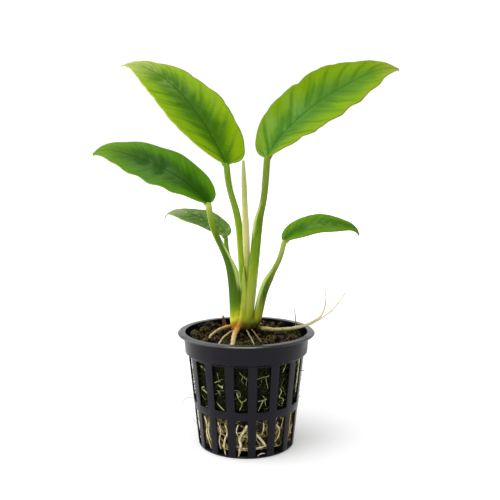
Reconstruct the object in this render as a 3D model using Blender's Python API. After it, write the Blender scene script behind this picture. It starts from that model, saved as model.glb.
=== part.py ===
"""A potted anubias: five leaves on a creeping stem, planted in a slotted net pot.

Metres, +Z up. The origin is the centre of the pot's base on the surface that it
stands on. The plant's two big leaves spread along X, and -Y is its front.
"""

import math

import bmesh
import bpy
from mathutils import Matrix, Vector

MM = 0.001
GAP = 0.3                       # between neighbouring pieces, in millimetres

# Net pot, in millimetres
POT_HEIGHT = 50.0
POT_WALL = 1.2
RIM_RADIUS = 29.8
COLLAR_TOP_RADIUS = 26.9
COLLAR_RADIUS = 26.6
COLLAR_BOTTOM = 41.4
STEP_BOTTOM = 40.3
WALL_TOP_RADIUS = 25.2
WALL_FOOT_RADIUS = 21.1
WALL_FOOT = 1.9
FLOOR_RADIUS = 20.4
FLOOR_DISC_RADIUS = 13.0
FLOOR_SLOT_RADIUS = 19.5
LOWER_SLOT_TOP = 17.1
UPPER_SLOT_BOTTOM = 20.6
UPPER_SLOT_TOP = 40.0
RIB_COUNT = 16
RIB_ANGLE = 9.0                 # degrees round the pot
FIRST_RIB = 6.35                # degrees to the right of the front

# Filling of the pot
SOIL_LEVEL = 47.7
SOIL_LUMP = 0.7
SOIL_MOUND = 0.9                # under the rhizome
ROOT_MASS_TOP = 16.5

# Rhizome, the short creeping stem that all leaves and roots grow from
RHIZOME_CENTRE = (-1.0, 0.2)
RHIZOME_RADII = (5.7, 4.6)
RHIZOME_BOTTOM = 49.0
RHIZOME_TOP = 54.3

LEAF_THICKNESS = 0.5

# Each leaf: where the blade leaves its stalk, its heading round the plant from +X
# and its climb, how far it droops towards the tip and how early, the roll of the
# blade about its midrib, its length and width, how blunt its base and its tip are,
# how much its left half differs from its right, its cupping, the hook of the tip,
# how far its left and right halves reach back past the stalk, and the ripple of
# its left and right edges as waves, phase and size.
LEAVES = {
    "upper_left": {
        "base": (-8.5, 6.0, 121.5), "heading": 149, "climb": 60, "droop": 54,
        "droop_power": 1.6, "roll": -32, "length": 78.0, "width": 28.0,
        "base_power": 0.65, "tip_power": 1.1, "uneven": 0.35, "cup": 0.1, "hook": 14,
        "lobes": (0.0, 2.0), "ripple": ((2.5, 3.0, 0.3), (3.5, 5.5, 0.3)),
        "colour": (0.145, 0.32, 0.012),
    },
    "upper_right": {
        "base": (9.0, 6.0, 124.5), "heading": 16, "climb": 75, "droop": 56,
        "droop_power": 0.4, "roll": 50, "length": 76.0, "width": 26.5,
        "base_power": 0.75, "tip_power": 0.95, "uneven": -0.2, "cup": 0.25, "hook": 27,
        "lobes": (2.0, 0.0), "ripple": ((2.0, 0.0, 0.7), (3.5, 2.5, 0.9)),
        "colour": (0.17, 0.34, 0.025),
    },
    "middle_left": {
        "base": (-16.0, -1.0, 105.0), "heading": 173, "climb": 57, "droop": 50,
        "droop_power": 0.6, "roll": -47, "length": 57.5, "width": 20.5,
        "base_power": 0.65, "tip_power": 0.85, "uneven": 0.3, "cup": 0.05, "hook": 36,
        "lobes": (0.0, 0.5), "ripple": ((5.0, 0.0, 0.5), (3.5, 5.0, 0.3)),
        "colour": (0.045, 0.19, 0.008),
    },
    "lower_left": {
        "base": (-9.0, 9.0, 90.0), "heading": 155, "climb": 58, "droop": 64,
        "droop_power": 0.55, "roll": -19, "length": 36.0, "width": 14.5,
        "base_power": 0.65, "tip_power": 1.15, "uneven": 0.3, "cup": 0.05, "hook": 68,
        "lobes": (0.0, 0.5), "ripple": ((2.0, 1.5, 0.4), (2.5, 1.0, 0.3)),
        "colour": (0.07, 0.17, 0.05),
    },
    "lower_right": {
        "base": (16.0, -4.0, 89.5), "heading": -2, "climb": 56, "droop": 82,
        "droop_power": 0.7, "roll": 32, "length": 36.0, "width": 13.5,
        "base_power": 0.6, "tip_power": 1.0, "uneven": -0.25, "cup": 0.0, "hook": 43,
        "lobes": (0.5, 0.0), "ripple": ((2.0, 1.0, 0.3), (2.0, 6.0, 0.3)),
        "colour": (0.06, 0.21, 0.012),
    },
}

# Each stalk: its foot on the rhizome, how far it bends aside with the height and the
# softness of that bend, how early it leans and how late it moves back on its way to
# the blade, its radius, and the half width of its sheath with the height where the
# sheath ends and the softness of that end.
STALKS = {
    "upper_left": {
        "foot": (-0.6, 2.5), "bend": -4.0, "bend_height": 106, "bend_soft": 8.0,
        "lean_power": 1.0, "back_power": 1.0, "radius": 1.15, "sheath": 1.35,
        "sheath_end": 104, "sheath_soft": 5.0,
    },
    "upper_right": {
        "foot": (0.3, -2.0), "bend": 2.0, "bend_height": 102, "bend_soft": 5.0,
        "lean_power": 0.75, "back_power": 1.4, "radius": 1.25, "sheath": 1.95,
        "sheath_end": 100, "sheath_soft": 4.0,
    },
    "middle_left": {
        "foot": (-4.4, -2.0), "bend": -10.5, "bend_height": 87, "bend_soft": 11.0,
        "lean_power": 1.0, "back_power": 1.0, "radius": 1.15, "sheath": 2.35,
        "sheath_end": 79, "sheath_soft": 7.0,
    },
    "lower_left": {
        "foot": (-3.8, 3.2), "bend": -5.2, "bend_height": 78, "bend_soft": 5.5,
        "lean_power": 1.0, "back_power": 0.7, "radius": 0.8, "sheath": 1.4,
        "sheath_end": 79, "sheath_soft": 3.0,
    },
    "lower_right": {
        "foot": (4.35, -1.0), "bend": 7.0, "bend_height": 76, "bend_soft": 8.0,
        "lean_power": 0.75, "back_power": 1.0, "radius": 0.95, "sheath": 1.75,
        "sheath_end": 75, "sheath_soft": 2.0,
    },
}
STALK_FOOT = 55.0               # height of the feet of all stalks
STALK_DROP = 0.45               # from the blade's sheet down to the top of its stalk

# The youngest leaf, still rolled up in a point: a spindle, widest halfway up
ROLLED_FOOT = (2.3, 2.5)
ROLLED_TIP = (-1.3, 1.0, 123.5)
ROLLED_LEAN_POWER = 0.6
ROLLED_RADIUS = 0.95
ROLLED_SWELL = 0.5
ROLLED_SWELL_HEIGHT = 92.0
ROLLED_SWELL_LENGTH = 13.0
ROLLED_POINT_LENGTH = 14.0

# Each root above the soil: where it leaves the rhizome or its parent root, its
# heading round the plant from +X and its climb there, how far both turn on its way,
# a kink upwards before its middle, its length, and its radius at either end.
ROOTS = {
    "root_front": {
        "start": (-3.8, -4.3, 51.6), "heading": -98, "turn": 5, "climb": -2, "rise": -13,
        "kink": 0, "length": 18.5, "radii": (1.3, 1.0),
    },
    "root_left": {
        "start": (-6.9, -0.8, 52.0), "heading": -158, "turn": 22, "climb": -2, "rise": -34,
        "kink": 0, "length": 11.0, "radii": (0.8, 0.55),
    },
    "root_front_left": {
        "start": (-5.3, -2.9, 50.6), "heading": -122, "turn": 22, "climb": -4, "rise": -7,
        "kink": 0, "length": 17.5, "radii": (0.5, 0.35),
    },
    "root_front_right_inner": {
        "start": (0.2, -4.3, 50.9), "heading": -76, "turn": -2, "climb": -8, "rise": -6,
        "kink": 0, "length": 13.5, "radii": (0.35, 0.25),
    },
    "root_front_right_outer": {
        "start": (2.4, -3.5, 51.1), "heading": -68, "turn": -1, "climb": -12, "rise": -8,
        "kink": 0, "length": 11.5, "radii": (0.35, 0.25),
    },
    "root_long": {
        "start": (5.2, 0.5, 51.2), "heading": -32, "turn": 44, "climb": -8, "rise": 22,
        "kink": 0, "length": 18.4, "radii": (1.1, 0.9),
    },
    "root_long_inner_branch": {
        "start": (23.3, -2.5, 52.3), "heading": 5, "turn": -5, "climb": 14, "rise": 42,
        "kink": 40, "length": 23.0, "radii": (0.55, 0.2),
    },
    "root_long_outer_branch": {
        "start": (23.4, -4.0, 52.3), "heading": -4, "turn": -14, "climb": 15, "rise": 50,
        "kink": 0, "length": 25.5, "radii": (0.45, 0.2),
    },
}

BLADE_ROWS = 20
BLADE_COLUMNS = 6
STALK_ROWS = 14
STALK_SIDES = 8
ROOT_ROWS = 9
ROOT_SIDES = 6


def clear_scene():
    """Removes everything that the open file holds."""
    for item in list(bpy.data.objects):
        bpy.data.objects.remove(item, do_unlink=True)


def material(name, colour, roughness, metallic=0.0):
    """A plain material of one colour."""
    made = bpy.data.materials.new(name)
    made.use_nodes = True
    shader = made.node_tree.nodes["Principled BSDF"]
    shader.inputs["Base Color"].default_value = (*colour, 1.0)
    shader.inputs["Roughness"].default_value = roughness
    shader.inputs["Metallic"].default_value = metallic
    made.diffuse_color = (*colour, 1.0)
    return made


def new_object(name, shape, surface, sharp_angle=40.0):
    """Puts a bmesh, drawn in millimetres, into the scene as one named piece."""
    bmesh.ops.transform(shape, matrix=Matrix.Scale(MM, 4), verts=shape.verts)
    mesh = bpy.data.meshes.new(name)
    shape.to_mesh(mesh)
    shape.free()
    mesh.materials.append(surface)
    mesh.shade_smooth()
    mesh.set_sharp_from_angle(angle=math.radians(sharp_angle))
    piece = bpy.data.objects.new(name, mesh)
    bpy.context.scene.collection.objects.link(piece)
    return piece


def wall_radius(height):
    """Outer radius of the tapered slotted wall at a height."""
    share = (height - WALL_FOOT) / (STEP_BOTTOM - WALL_FOOT)
    return WALL_FOOT_RADIUS + (WALL_TOP_RADIUS - WALL_FOOT_RADIUS) * share


def net_pot(surface):
    """Turns the pot's outer profile, leaves the slots open and gives it its wall."""
    profile = [
        (FLOOR_DISC_RADIUS, 0.0),
        (FLOOR_SLOT_RADIUS, 0.0),
        (FLOOR_RADIUS, 0.0),
        (FLOOR_RADIUS + 0.5, 0.5),
        (WALL_FOOT_RADIUS, WALL_FOOT),
        (wall_radius(LOWER_SLOT_TOP), LOWER_SLOT_TOP),
        (wall_radius(UPPER_SLOT_BOTTOM), UPPER_SLOT_BOTTOM),
        (wall_radius(UPPER_SLOT_TOP), UPPER_SLOT_TOP),
        (WALL_TOP_RADIUS, STEP_BOTTOM),
        (COLLAR_RADIUS, COLLAR_BOTTOM),
        (COLLAR_TOP_RADIUS, POT_HEIGHT - POT_WALL),
        (RIM_RADIUS, POT_HEIGHT - POT_WALL),
    ]
    sector = 360.0 / RIB_COUNT
    start = math.radians(-90.0 + FIRST_RIB - RIB_ANGLE / 2.0)
    shape = bmesh.new()
    points = [shape.verts.new((radius, 0.0, height)) for radius, height in profile]
    line = [shape.edges.new(pair) for pair in zip(points[:-1], points[1:])]
    bmesh.ops.rotate(shape, matrix=Matrix.Rotation(start, 3, "Z"), verts=points)
    moving = points + line
    for _ in range(RIB_COUNT):
        for angle, steps in ((RIB_ANGLE, 1), (sector - RIB_ANGLE, 2)):
            turned = bmesh.ops.spin(
                shape, geom=moving, cent=(0.0, 0.0, 0.0), axis=(0.0, 0.0, 1.0),
                angle=math.radians(angle), steps=steps)
            moving = turned["geom_last"]
    bmesh.ops.remove_doubles(shape, verts=shape.verts, dist=0.01)

    def in_slot(face):
        middle = face.calc_center_median()
        around = math.degrees(math.atan2(middle.y, middle.x) - start) % sector
        reach = math.hypot(middle.x, middle.y)
        lower = reach > FLOOR_SLOT_RADIUS and middle.z < LOWER_SLOT_TOP
        upper = UPPER_SLOT_BOTTOM < middle.z < UPPER_SLOT_TOP
        return around > RIB_ANGLE and (lower or upper)

    slots = [face for face in shape.faces if in_slot(face)]
    bmesh.ops.delete(shape, geom=slots, context="FACES")
    inner_ring = [
        edge for edge in shape.edges
        if all(math.hypot(v.co.x, v.co.y) < FLOOR_DISC_RADIUS + 0.1 for v in edge.verts)
    ]
    bmesh.ops.edgeloop_fill(shape, edges=inner_ring)
    bmesh.ops.recalc_face_normals(shape, faces=shape.faces)
    floor = min(shape.faces, key=lambda face: face.calc_center_median().length)
    if floor.normal.z > 0.0:
        bmesh.ops.reverse_faces(shape, faces=shape.faces)
    piece = new_object("net_pot", shape, surface)
    wall = piece.modifiers.new("wall", "SOLIDIFY")
    wall.thickness = POT_WALL * MM
    wall.offset = -1.0
    wall.use_even_offset = True
    return piece


def spun_solid(profile, steps):
    """A closed solid of revolution from a profile that starts and ends on the axis."""
    shape = bmesh.new()
    points = [shape.verts.new((radius, 0.0, height)) for radius, height in profile]
    line = [shape.edges.new(pair) for pair in zip(points[:-1], points[1:])]
    bmesh.ops.spin(
        shape, geom=points + line, cent=(0.0, 0.0, 0.0), axis=(0.0, 0.0, 1.0),
        angle=math.tau, steps=steps, use_merge=True)
    bmesh.ops.remove_doubles(shape, verts=shape.verts, dist=0.01)
    bmesh.ops.recalc_face_normals(shape, faces=shape.faces)
    return shape


def soil(surface):
    """The dark mossy plug that fills the pot, with a lumpy top."""
    inset = POT_WALL + GAP
    profile = [(0.0, SOIL_LEVEL)]
    profile += [(radius, SOIL_LEVEL) for radius in (4.0, 8.0, 12.0, 16.0, 20.0, 23.4)]
    profile += [
        (COLLAR_TOP_RADIUS - inset - 0.4, SOIL_LEVEL - 1.4),
        (COLLAR_RADIUS - inset - 0.4, COLLAR_BOTTOM + 1.6),
        (WALL_TOP_RADIUS - inset - 0.1, STEP_BOTTOM),
        (wall_radius(ROOT_MASS_TOP + GAP) - inset, ROOT_MASS_TOP + GAP),
        (0.0, ROOT_MASS_TOP + GAP),
    ]
    shape = spun_solid(profile, 30)
    for vert in shape.verts:
        if vert.co.z < SOIL_LEVEL - 0.1:
            continue
        reach = math.hypot(vert.co.x, vert.co.y)
        mound = math.exp(-((reach / 8.0) ** 2))
        lumps = math.sin(0.83 * vert.co.x + 1.3) * math.cos(0.71 * vert.co.y - 0.4)
        lumps += 0.6 * math.sin(1.9 * vert.co.x - 1.4 * vert.co.y)
        vert.co.z += SOIL_MOUND * mound + SOIL_LUMP * (1.0 - mound) * lumps / 1.6
    return new_object("soil", shape, surface, 80.0)


def root_mass(surface):
    """The mat of pale roots in the foot of the pot, behind the lower slots."""
    inset = POT_WALL + GAP
    floor = POT_WALL + GAP
    profile = [
        (0.0, ROOT_MASS_TOP),
        (wall_radius(ROOT_MASS_TOP) - inset, ROOT_MASS_TOP),
        (wall_radius(9.0) - inset - 0.2, 9.0),
        (wall_radius(4.0) - inset - 1.6, 4.0),
        (FLOOR_RADIUS - inset - 4.0, floor),
        (0.0, floor),
    ]
    return new_object("root_mass", spun_solid(profile, 24), surface, 50.0)


def rhizome(surface):
    """The stub of creeping stem on the soil, with the stalks standing on it."""
    profile = [
        (0.0, RHIZOME_BOTTOM), (0.62, RHIZOME_BOTTOM + 0.2), (0.9, RHIZOME_BOTTOM + 1.4),
        (1.0, RHIZOME_BOTTOM + 3.0), (0.97, RHIZOME_TOP - 0.6), (0.9, RHIZOME_TOP),
        (0.0, RHIZOME_TOP),
    ]
    shape = spun_solid(profile, 20)
    width, depth = RHIZOME_RADII
    bmesh.ops.scale(shape, vec=(width, depth, 1.0), verts=shape.verts)
    bmesh.ops.translate(shape, vec=(*RHIZOME_CENTRE, 0.0), verts=shape.verts)
    return new_object("rhizome", shape, surface, 60.0)


def soft_step(value, middle, softness):
    """Rises smoothly from 0 to 1 round a middle."""
    return 0.5 * (1.0 + math.tanh((value - middle) / softness))


def stalk_path(stalk, base, rows):
    """A stalk's middle, half width and half depth from the rhizome to its blade."""
    foot_x, foot_y = stalk["foot"]
    top_x, top_y, top = base[0], base[1], base[2] - STALK_DROP

    def bent(height):
        return stalk["bend"] * soft_step(height, stalk["bend_height"], stalk["bend_soft"])

    lean = top_x - foot_x - bent(top) + bent(STALK_FOOT)
    path = []
    for row in range(rows + 1):
        share = row / rows
        height = STALK_FOOT + (top - STALK_FOOT) * share
        x = foot_x + lean * share ** stalk["lean_power"] + bent(height) - bent(STALK_FOOT)
        y = foot_y + (top_y - foot_y) * share ** stalk["back_power"]
        bare = soft_step(height, stalk["sheath_end"], stalk["sheath_soft"])
        half_width = stalk["sheath"] + (stalk["radius"] - stalk["sheath"]) * bare
        half_depth = 0.95 * stalk["radius"] + 0.3 * (half_width - stalk["radius"])
        path.append((x, y, height, half_width, half_depth))
    return path


def rolled_leaf_path(rows):
    """The rolled leaf's middle, half width and half depth, up to its point."""
    tip_x, tip_y, top = ROLLED_TIP
    path = []
    for row in range(rows + 1):
        share = row / rows
        height = STALK_FOOT + (top - STALK_FOOT) * share
        x = ROLLED_FOOT[0] + (tip_x - ROLLED_FOOT[0]) * share ** ROLLED_LEAN_POWER
        y = ROLLED_FOOT[1] + (tip_y - ROLLED_FOOT[1]) * share
        away = (height - ROLLED_SWELL_HEIGHT) / ROLLED_SWELL_LENGTH
        radius = ROLLED_RADIUS + ROLLED_SWELL * math.exp(-(away ** 2))
        radius *= min(1.0, (top - height) / ROLLED_POINT_LENGTH + 0.05) ** 0.4
        path.append((x, y, height, radius, 0.88 * radius))
    return path


def root_path(root, rows):
    """A root's middle and radius: it is steered from its start along its length."""
    path = []
    place = Vector(root["start"])
    before = 0.0
    thick, thin = root["radii"]
    for row in range(rows + 1):
        share = row / rows
        middle = (before + share) / 2.0
        heading = math.radians(root["heading"] + root["turn"] * middle)
        kink = root["kink"] * soft_step(middle, 0.45, 0.1)
        climb = math.radians(root["climb"] + root["rise"] * middle + kink)
        forward = Vector((
            math.cos(climb) * math.cos(heading),
            math.cos(climb) * math.sin(heading),
            math.sin(climb)))
        place = place + forward * root["length"] * (share - before)
        radius = thick + (thin - thick) * share
        path.append((*place, radius, radius))
        before = share
    return path


def swept_solid(path, sides, reference):
    """Extrudes an oval ring through the path's stations: x, y, z and two radii."""
    shape = bmesh.new()
    ring = bmesh.ops.create_circle(shape, cap_ends=True, segments=sides, radius=1.0)["verts"]
    rest = [vert.co.copy() for vert in ring]
    end = shape.faces[:]
    centres = [Vector(row[:3]) for row in path]
    for index, row in enumerate(path):
        if index:
            grown = bmesh.ops.extrude_face_region(shape, geom=end)["geom"]
            if index > 1:
                bmesh.ops.delete(shape, geom=end, context="FACES_ONLY")
            ring = [item for item in grown if isinstance(item, bmesh.types.BMVert)]
            end = [item for item in grown if isinstance(item, bmesh.types.BMFace)]
        ahead = centres[min(index + 1, len(path) - 1)]
        behind = centres[max(index - 1, 0)]
        along = (ahead - behind).normalized()
        across = reference.cross(along).normalized()
        inward = along.cross(across)
        for vert, place in zip(ring, rest):
            vert.co = centres[index] + across * place.x * row[3] + inward * place.y * row[4]
    bmesh.ops.recalc_face_normals(shape, faces=shape.faces)
    return shape


def stalk(name, path, surface):
    """A leaf stalk or the rolled leaf: an oval rod that widens into its sheath."""
    return new_object(name, swept_solid(path, STALK_SIDES, Vector((0, 1, 0))), surface, 60.0)


def root(name, path, surface):
    """A root: a thin round rod that tapers to its tip."""
    return new_object(name, swept_solid(path, ROOT_SIDES, Vector((0, 0, 1))), surface, 60.0)


def blade_frames(leaf):
    """The midrib's points with the directions along it, across and out of the face."""
    frames = []
    place = Vector(leaf["base"])
    heading = math.radians(leaf["heading"])
    level = Vector((-math.sin(heading), math.cos(heading), 0.0))

    def direction(share):
        hook = leaf["hook"] * max(0.0, (share - 0.82) / 0.18)
        droop = leaf["droop"] * share ** leaf["droop_power"]
        climb = math.radians(leaf["climb"] - droop - hook)
        return Vector((
            math.cos(climb) * math.cos(heading),
            math.cos(climb) * math.sin(heading),
            math.sin(climb)))

    shares = [(row / BLADE_ROWS) ** 1.35 for row in range(BLADE_ROWS + 1)]
    for before, share in zip([0.0, *shares], shares):
        place = place + direction((before + share) / 2.0) * leaf["length"] * (share - before)
        upward = direction(share).cross(level)
        roll = math.radians(leaf["roll"])
        across = level * math.cos(roll) + upward * math.sin(roll)
        out = upward * math.cos(roll) - level * math.sin(roll)
        frames.append((share, place, direction(share), across, out))
    return frames


def half_width(leaf, share, side):
    """Width of one half of the blade at a share of its length, blunt at the base."""
    rise = leaf["base_power"] * (1.0 + math.copysign(1.0, side) * leaf["uneven"])
    fall = leaf["tip_power"]
    peak = rise / (rise + fall)
    share = min(max(share, 0.006), 0.985)
    shape = (share / peak) ** rise * ((1.0 - share) / (1.0 - peak)) ** fall
    return leaf["width"] / 2.0 * shape


def leaf_blade(name, leaf, surface):
    """One thin blade: a flat grid laid on the drooping, rolled midrib."""
    frames = blade_frames(leaf)
    shape = bmesh.new()
    bmesh.ops.create_grid(shape, x_segments=BLADE_ROWS, y_segments=BLADE_COLUMNS, size=1.0)
    for vert in shape.verts:
        side = vert.co.y
        row = round((vert.co.x + 1.0) / 2.0 * BLADE_ROWS)
        share, place, along, across, out = frames[row]
        half = 0 if side > 0.0 else 1
        lobe = leaf["lobes"][half] * side * side * share / 0.06 * math.exp(1.0 - share / 0.06)
        waves, phase, size = leaf["ripple"][half]
        turn = math.tau * waves * share + phase
        size = size * math.sin(math.pi * share) * side * side
        reach = half_width(leaf, share, side) * abs(side) + size * math.sin(turn)
        lift = leaf["cup"] * reach * abs(side) + 0.6 * size * math.cos(turn)
        vert.co = place - along * lobe + across * math.copysign(reach, side) + out * lift
    piece = new_object(name, shape, surface, 60.0)
    flesh = piece.modifiers.new("flesh", "SOLIDIFY")
    flesh.thickness = LEAF_THICKNESS * MM
    flesh.offset = 0.0
    return piece


def build():
    clear_scene()
    plastic = material("net_pot", (0.022, 0.021, 0.028), 0.42)
    earth = material("soil", (0.012, 0.013, 0.006), 0.95)
    mat_of_roots = material("root_mass", (0.30, 0.22, 0.09), 0.8)
    stem_skin = material("rhizome", (0.62, 0.36, 0.06), 0.5)
    root_skin = material("root", (0.66, 0.50, 0.24), 0.6)
    net_pot(plastic)
    soil(earth)
    root_mass(mat_of_roots)
    rhizome(stem_skin)
    stalk_skin = material("leaf_stalk", (0.19, 0.34, 0.03), 0.4)
    for place, values in STALKS.items():
        path = stalk_path(values, LEAVES[place]["base"], STALK_ROWS)
        stalk("leaf_stalk_" + place, path, stalk_skin)
    for place, leaf in LEAVES.items():
        leaf_skin = material("leaf_blade_" + place, leaf["colour"], 0.35)
        leaf_blade("leaf_blade_" + place, leaf, leaf_skin)
    young_skin = material("rolled_leaf", (0.55, 0.62, 0.27), 0.45)
    stalk("rolled_leaf", rolled_leaf_path(STALK_ROWS), young_skin)
    for name, values in ROOTS.items():
        root(name, root_path(values, ROOT_ROWS), root_skin)


build()
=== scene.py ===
# %% [markdown]
# # Dressing a potted anubias
#
# A young anubias is sold for aquariums in a small slotted pot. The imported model
# already holds its true sizes. This file gives every piece its real surface: veined
# waxy leaves, sheathed stalks, wet roots, mossy soil and moulded plastic.

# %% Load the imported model
import functools
import math
import random

import bmesh
import bpy
from mathutils import Matrix, Vector, noise


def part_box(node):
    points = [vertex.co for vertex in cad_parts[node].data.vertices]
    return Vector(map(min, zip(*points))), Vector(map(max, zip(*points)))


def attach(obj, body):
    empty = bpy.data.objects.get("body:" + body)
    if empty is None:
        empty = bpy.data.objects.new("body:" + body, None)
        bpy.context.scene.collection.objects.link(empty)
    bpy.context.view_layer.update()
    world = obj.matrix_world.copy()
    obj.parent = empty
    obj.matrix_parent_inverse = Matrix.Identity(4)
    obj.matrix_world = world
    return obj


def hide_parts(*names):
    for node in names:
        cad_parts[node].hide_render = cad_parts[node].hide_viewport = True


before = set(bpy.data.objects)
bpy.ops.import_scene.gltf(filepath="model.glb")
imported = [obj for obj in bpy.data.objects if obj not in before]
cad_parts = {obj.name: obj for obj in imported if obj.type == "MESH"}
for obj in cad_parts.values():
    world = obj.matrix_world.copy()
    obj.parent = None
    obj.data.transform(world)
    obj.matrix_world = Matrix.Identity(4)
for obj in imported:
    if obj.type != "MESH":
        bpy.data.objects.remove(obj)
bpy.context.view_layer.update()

MM = 0.001

# %% [markdown]
# ## Helpers for colours, nodes and pieces
#
# Colours are noted as the hex codes that a picture editor shows, which are sRGB, so
# one function turns them into the linear values that a shader works with. One small
# function adds a shader node with its settings, its fixed values and its links. Each
# finished mesh is drawn in millimetres, brought to metres, and rides on the model.

# %% Colours and nodes
PER_MM = 1000.0                 # the scale of a noise whose patches are one millimetre
SOFT = {"interpolation_type": "SMOOTHSTEP"}
COLOUR = {"data_type": "RGBA"}
TIMES = {"operation": "MULTIPLY"}
TIMES_PLUS = {"operation": "MULTIPLY_ADD"}


def linear(code):
    """An sRGB hex colour as the linear red, green, blue and alpha of a shader."""
    shares = [int(code[start:start + 2], 16) / 255.0 for start in (1, 3, 5)]
    return (*[s / 12.92 if s <= 0.04045 else ((s + 0.055) / 1.055) ** 2.4 for s in shares], 1.0)


def output_of(source):
    """What to link from: a socket itself, or the first one that a node has in use."""
    if isinstance(source, bpy.types.NodeSocket):
        return source
    return next(socket for socket in source.outputs if not socket.is_unavailable)


def add_node(tree, kind, inputs=(), stops=(), **settings):
    """Adds one shader node with its settings, its inputs and the colours of its ramp.

    Inputs are given by name, or in the order in which the node shows them, so a noise
    takes its place, scale and detail. Each is a number, a hex colour, or a node or
    socket to link from.
    """
    made = tree.nodes.new("ShaderNode" + kind)
    for name, value in settings.items():
        setattr(made, name, value)
    if isinstance(inputs, dict):
        pairs = [(made.inputs[name], value) for name, value in inputs.items()]
    else:
        pairs = zip([socket for socket in made.inputs if not socket.is_unavailable], inputs)
    for socket, value in pairs:
        if isinstance(value, (bpy.types.Node, bpy.types.NodeSocket)):
            tree.links.new(output_of(value), socket)
        else:
            socket.default_value = linear(value) if isinstance(value, str) else value
    if stops:
        points = made.color_ramp.elements
        while len(points) < len(stops):
            points.new(0.5)
        for point, (place, code) in zip(points, stops):
            point.position = place
            point.color = linear(code)
    return made


def new_material(name, **values):
    """A material, with its shader's fixed values set on the shader itself."""
    made = bpy.data.materials.new(name)
    made.use_nodes = True
    shader = made.node_tree.nodes["Principled BSDF"]
    for socket, value in values.items():
        shader.inputs[socket.replace("_", " ")].default_value = value
    return made, functools.partial(add_node, made.node_tree), shader


def link_up(shader, **sources):
    """Links nodes to a shader's inputs, where an underscore stands for a blank."""
    for name, source in sources.items():
        shader.id_data.links.new(output_of(source), shader.inputs[name.replace("_", " ")])


print("a leaf green for a shader:", [round(share, 3) for share in linear("#5c8a00")])


# %% Pieces
def finish_piece(name, source, surfaces, stands_for=(), sharp_angle=None):
    """Puts a mesh or a bmesh, drawn in millimetres, on the model as a named piece."""
    mesh = source
    if isinstance(source, bmesh.types.BMesh):
        mesh = bpy.data.meshes.new(name)
        source.to_mesh(mesh)
        source.free()
    mesh.transform(Matrix.Scale(MM, 4))
    for surface in surfaces:
        mesh.materials.append(surface)
    mesh.shade_smooth()
    if sharp_angle:
        mesh.set_sharp_from_angle(angle=math.radians(sharp_angle))
    piece = bpy.data.objects.new(name, mesh)
    bpy.context.scene.collection.objects.link(piece)
    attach(piece, "root")
    if stands_for:
        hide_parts(*stands_for)
    print(name, len(mesh.polygons), "faces")
    return piece


def size_of(node):
    """A model node's lowest and highest corner, in millimetres."""
    low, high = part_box(node)
    return Vector(low) / MM, Vector(high) / MM


print("corners of the soil in millimetres:", size_of("soil"))

# %% [markdown]
# ## Camera, floor and light
#
# The plant stands on a white sweep under a big soft light from the upper left, so the
# pot throws only a faint shadow to the right. The sweep glows as painted light, dimmer
# near the plant. A white world lights the rest. The camera stands a third of a metre
# away, a little above the rim, and looks slightly down with a 54 mm lens.

# %% Camera
CAMERA_PLACE = (0.0016, -0.3203, 0.124)
CAMERA_DOWN = 6.9               # degrees

camera_data = bpy.data.cameras.new("camera")
camera_data.lens = 54.0
camera_data.sensor_width = 36.0
camera_data.clip_start = 0.01
camera = bpy.data.objects.new("camera", camera_data)
camera.location = CAMERA_PLACE
camera.rotation_euler = (math.radians(90.0 - CAMERA_DOWN), 0.0, 0.0)
bpy.context.scene.collection.objects.link(camera)
bpy.context.scene.camera = camera
print("camera at", tuple(camera.location))

# %% Floor
FLOOR_SIZE = 6.0                # metres
PAINTED_FLOOR_GLOW = "#848484"          # painted glow of the floor near the plant; white further off

sweep_shape = bmesh.new()
bmesh.ops.create_grid(sweep_shape, x_segments=1, y_segments=1, size=FLOOR_SIZE / 2.0)
sweep_mesh = bpy.data.meshes.new("floor")
sweep_shape.to_mesh(sweep_mesh)
sweep_shape.free()
floor = bpy.data.objects.new("floor", sweep_mesh)
bpy.context.scene.collection.objects.link(floor)

# The floor glows as painted light: dim near the plant, so a faint shadow shows, and white further
# off.
board, node, board_shader = new_material(
    "floor_with_painted_glow", Roughness=0.9, Emission_Strength=1.0)
place = node("TexCoord").outputs["Object"]
cloud = node("TexNoise", (place, PER_MM / 40.0, 3.0))
away = node("VectorMath", [place], operation="LENGTH").outputs["Value"]
lit = node("MapRange", (away, 0.12, 0.7), **SOFT)
link_up(
    board_shader,
    Base_Color=node("Mix", (cloud, "#efeff0", "#f4f4f4"), **COLOUR),
    Emission_Color=node("Mix", (lit, PAINTED_FLOOR_GLOW, "#ffffff"), **COLOUR))
sweep_mesh.materials.append(board)
print("floor", FLOOR_SIZE, "metres wide")

# %% Light
ROOM_BACK = 0.75                # how bright the white room is behind the plant
ROOM_FRONT = 0.12               # and how dim on the camera's side

world = bpy.data.worlds.new("studio")
world.use_nodes = True
node = functools.partial(add_node, world.node_tree)
facing = node("SeparateXYZ", [node("TexCoord").outputs["Generated"]])
to_back = node("MapRange", (facing.outputs["Y"], -0.8, 0.5, ROOM_FRONT, ROOM_BACK), **SOFT)
seen = node("LightPath").outputs["Is Camera Ray"]
link_up(
    world.node_tree.nodes["Background"],
    Strength=node("MapRange", (seen, 0.0, 1.0, to_back, 1.05)))
world.node_tree.nodes["Background"].inputs["Color"].default_value = linear("#ffffff")
bpy.context.scene.world = world
bpy.context.scene.view_settings.view_transform = "Standard"


def soft_light(name, place, aim, width, power):
    """A square soft light that faces a point."""
    data = bpy.data.lights.new(name, "AREA")
    data.size = width
    data.energy = power
    lamp = bpy.data.objects.new(name, data)
    lamp.location = place
    lamp.rotation_euler = (Vector(aim) - Vector(place)).to_track_quat("-Z", "Y").to_euler()
    bpy.context.scene.collection.objects.link(lamp)


soft_light("key_light", (-0.56, -0.02, 0.32), (0.0, 0.0, 0.06), 1.1, 5.0)
soft_light("top_light", (-0.05, -0.22, 0.75), (0.0, 0.0, 0.08), 0.45, 2.8)

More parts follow.
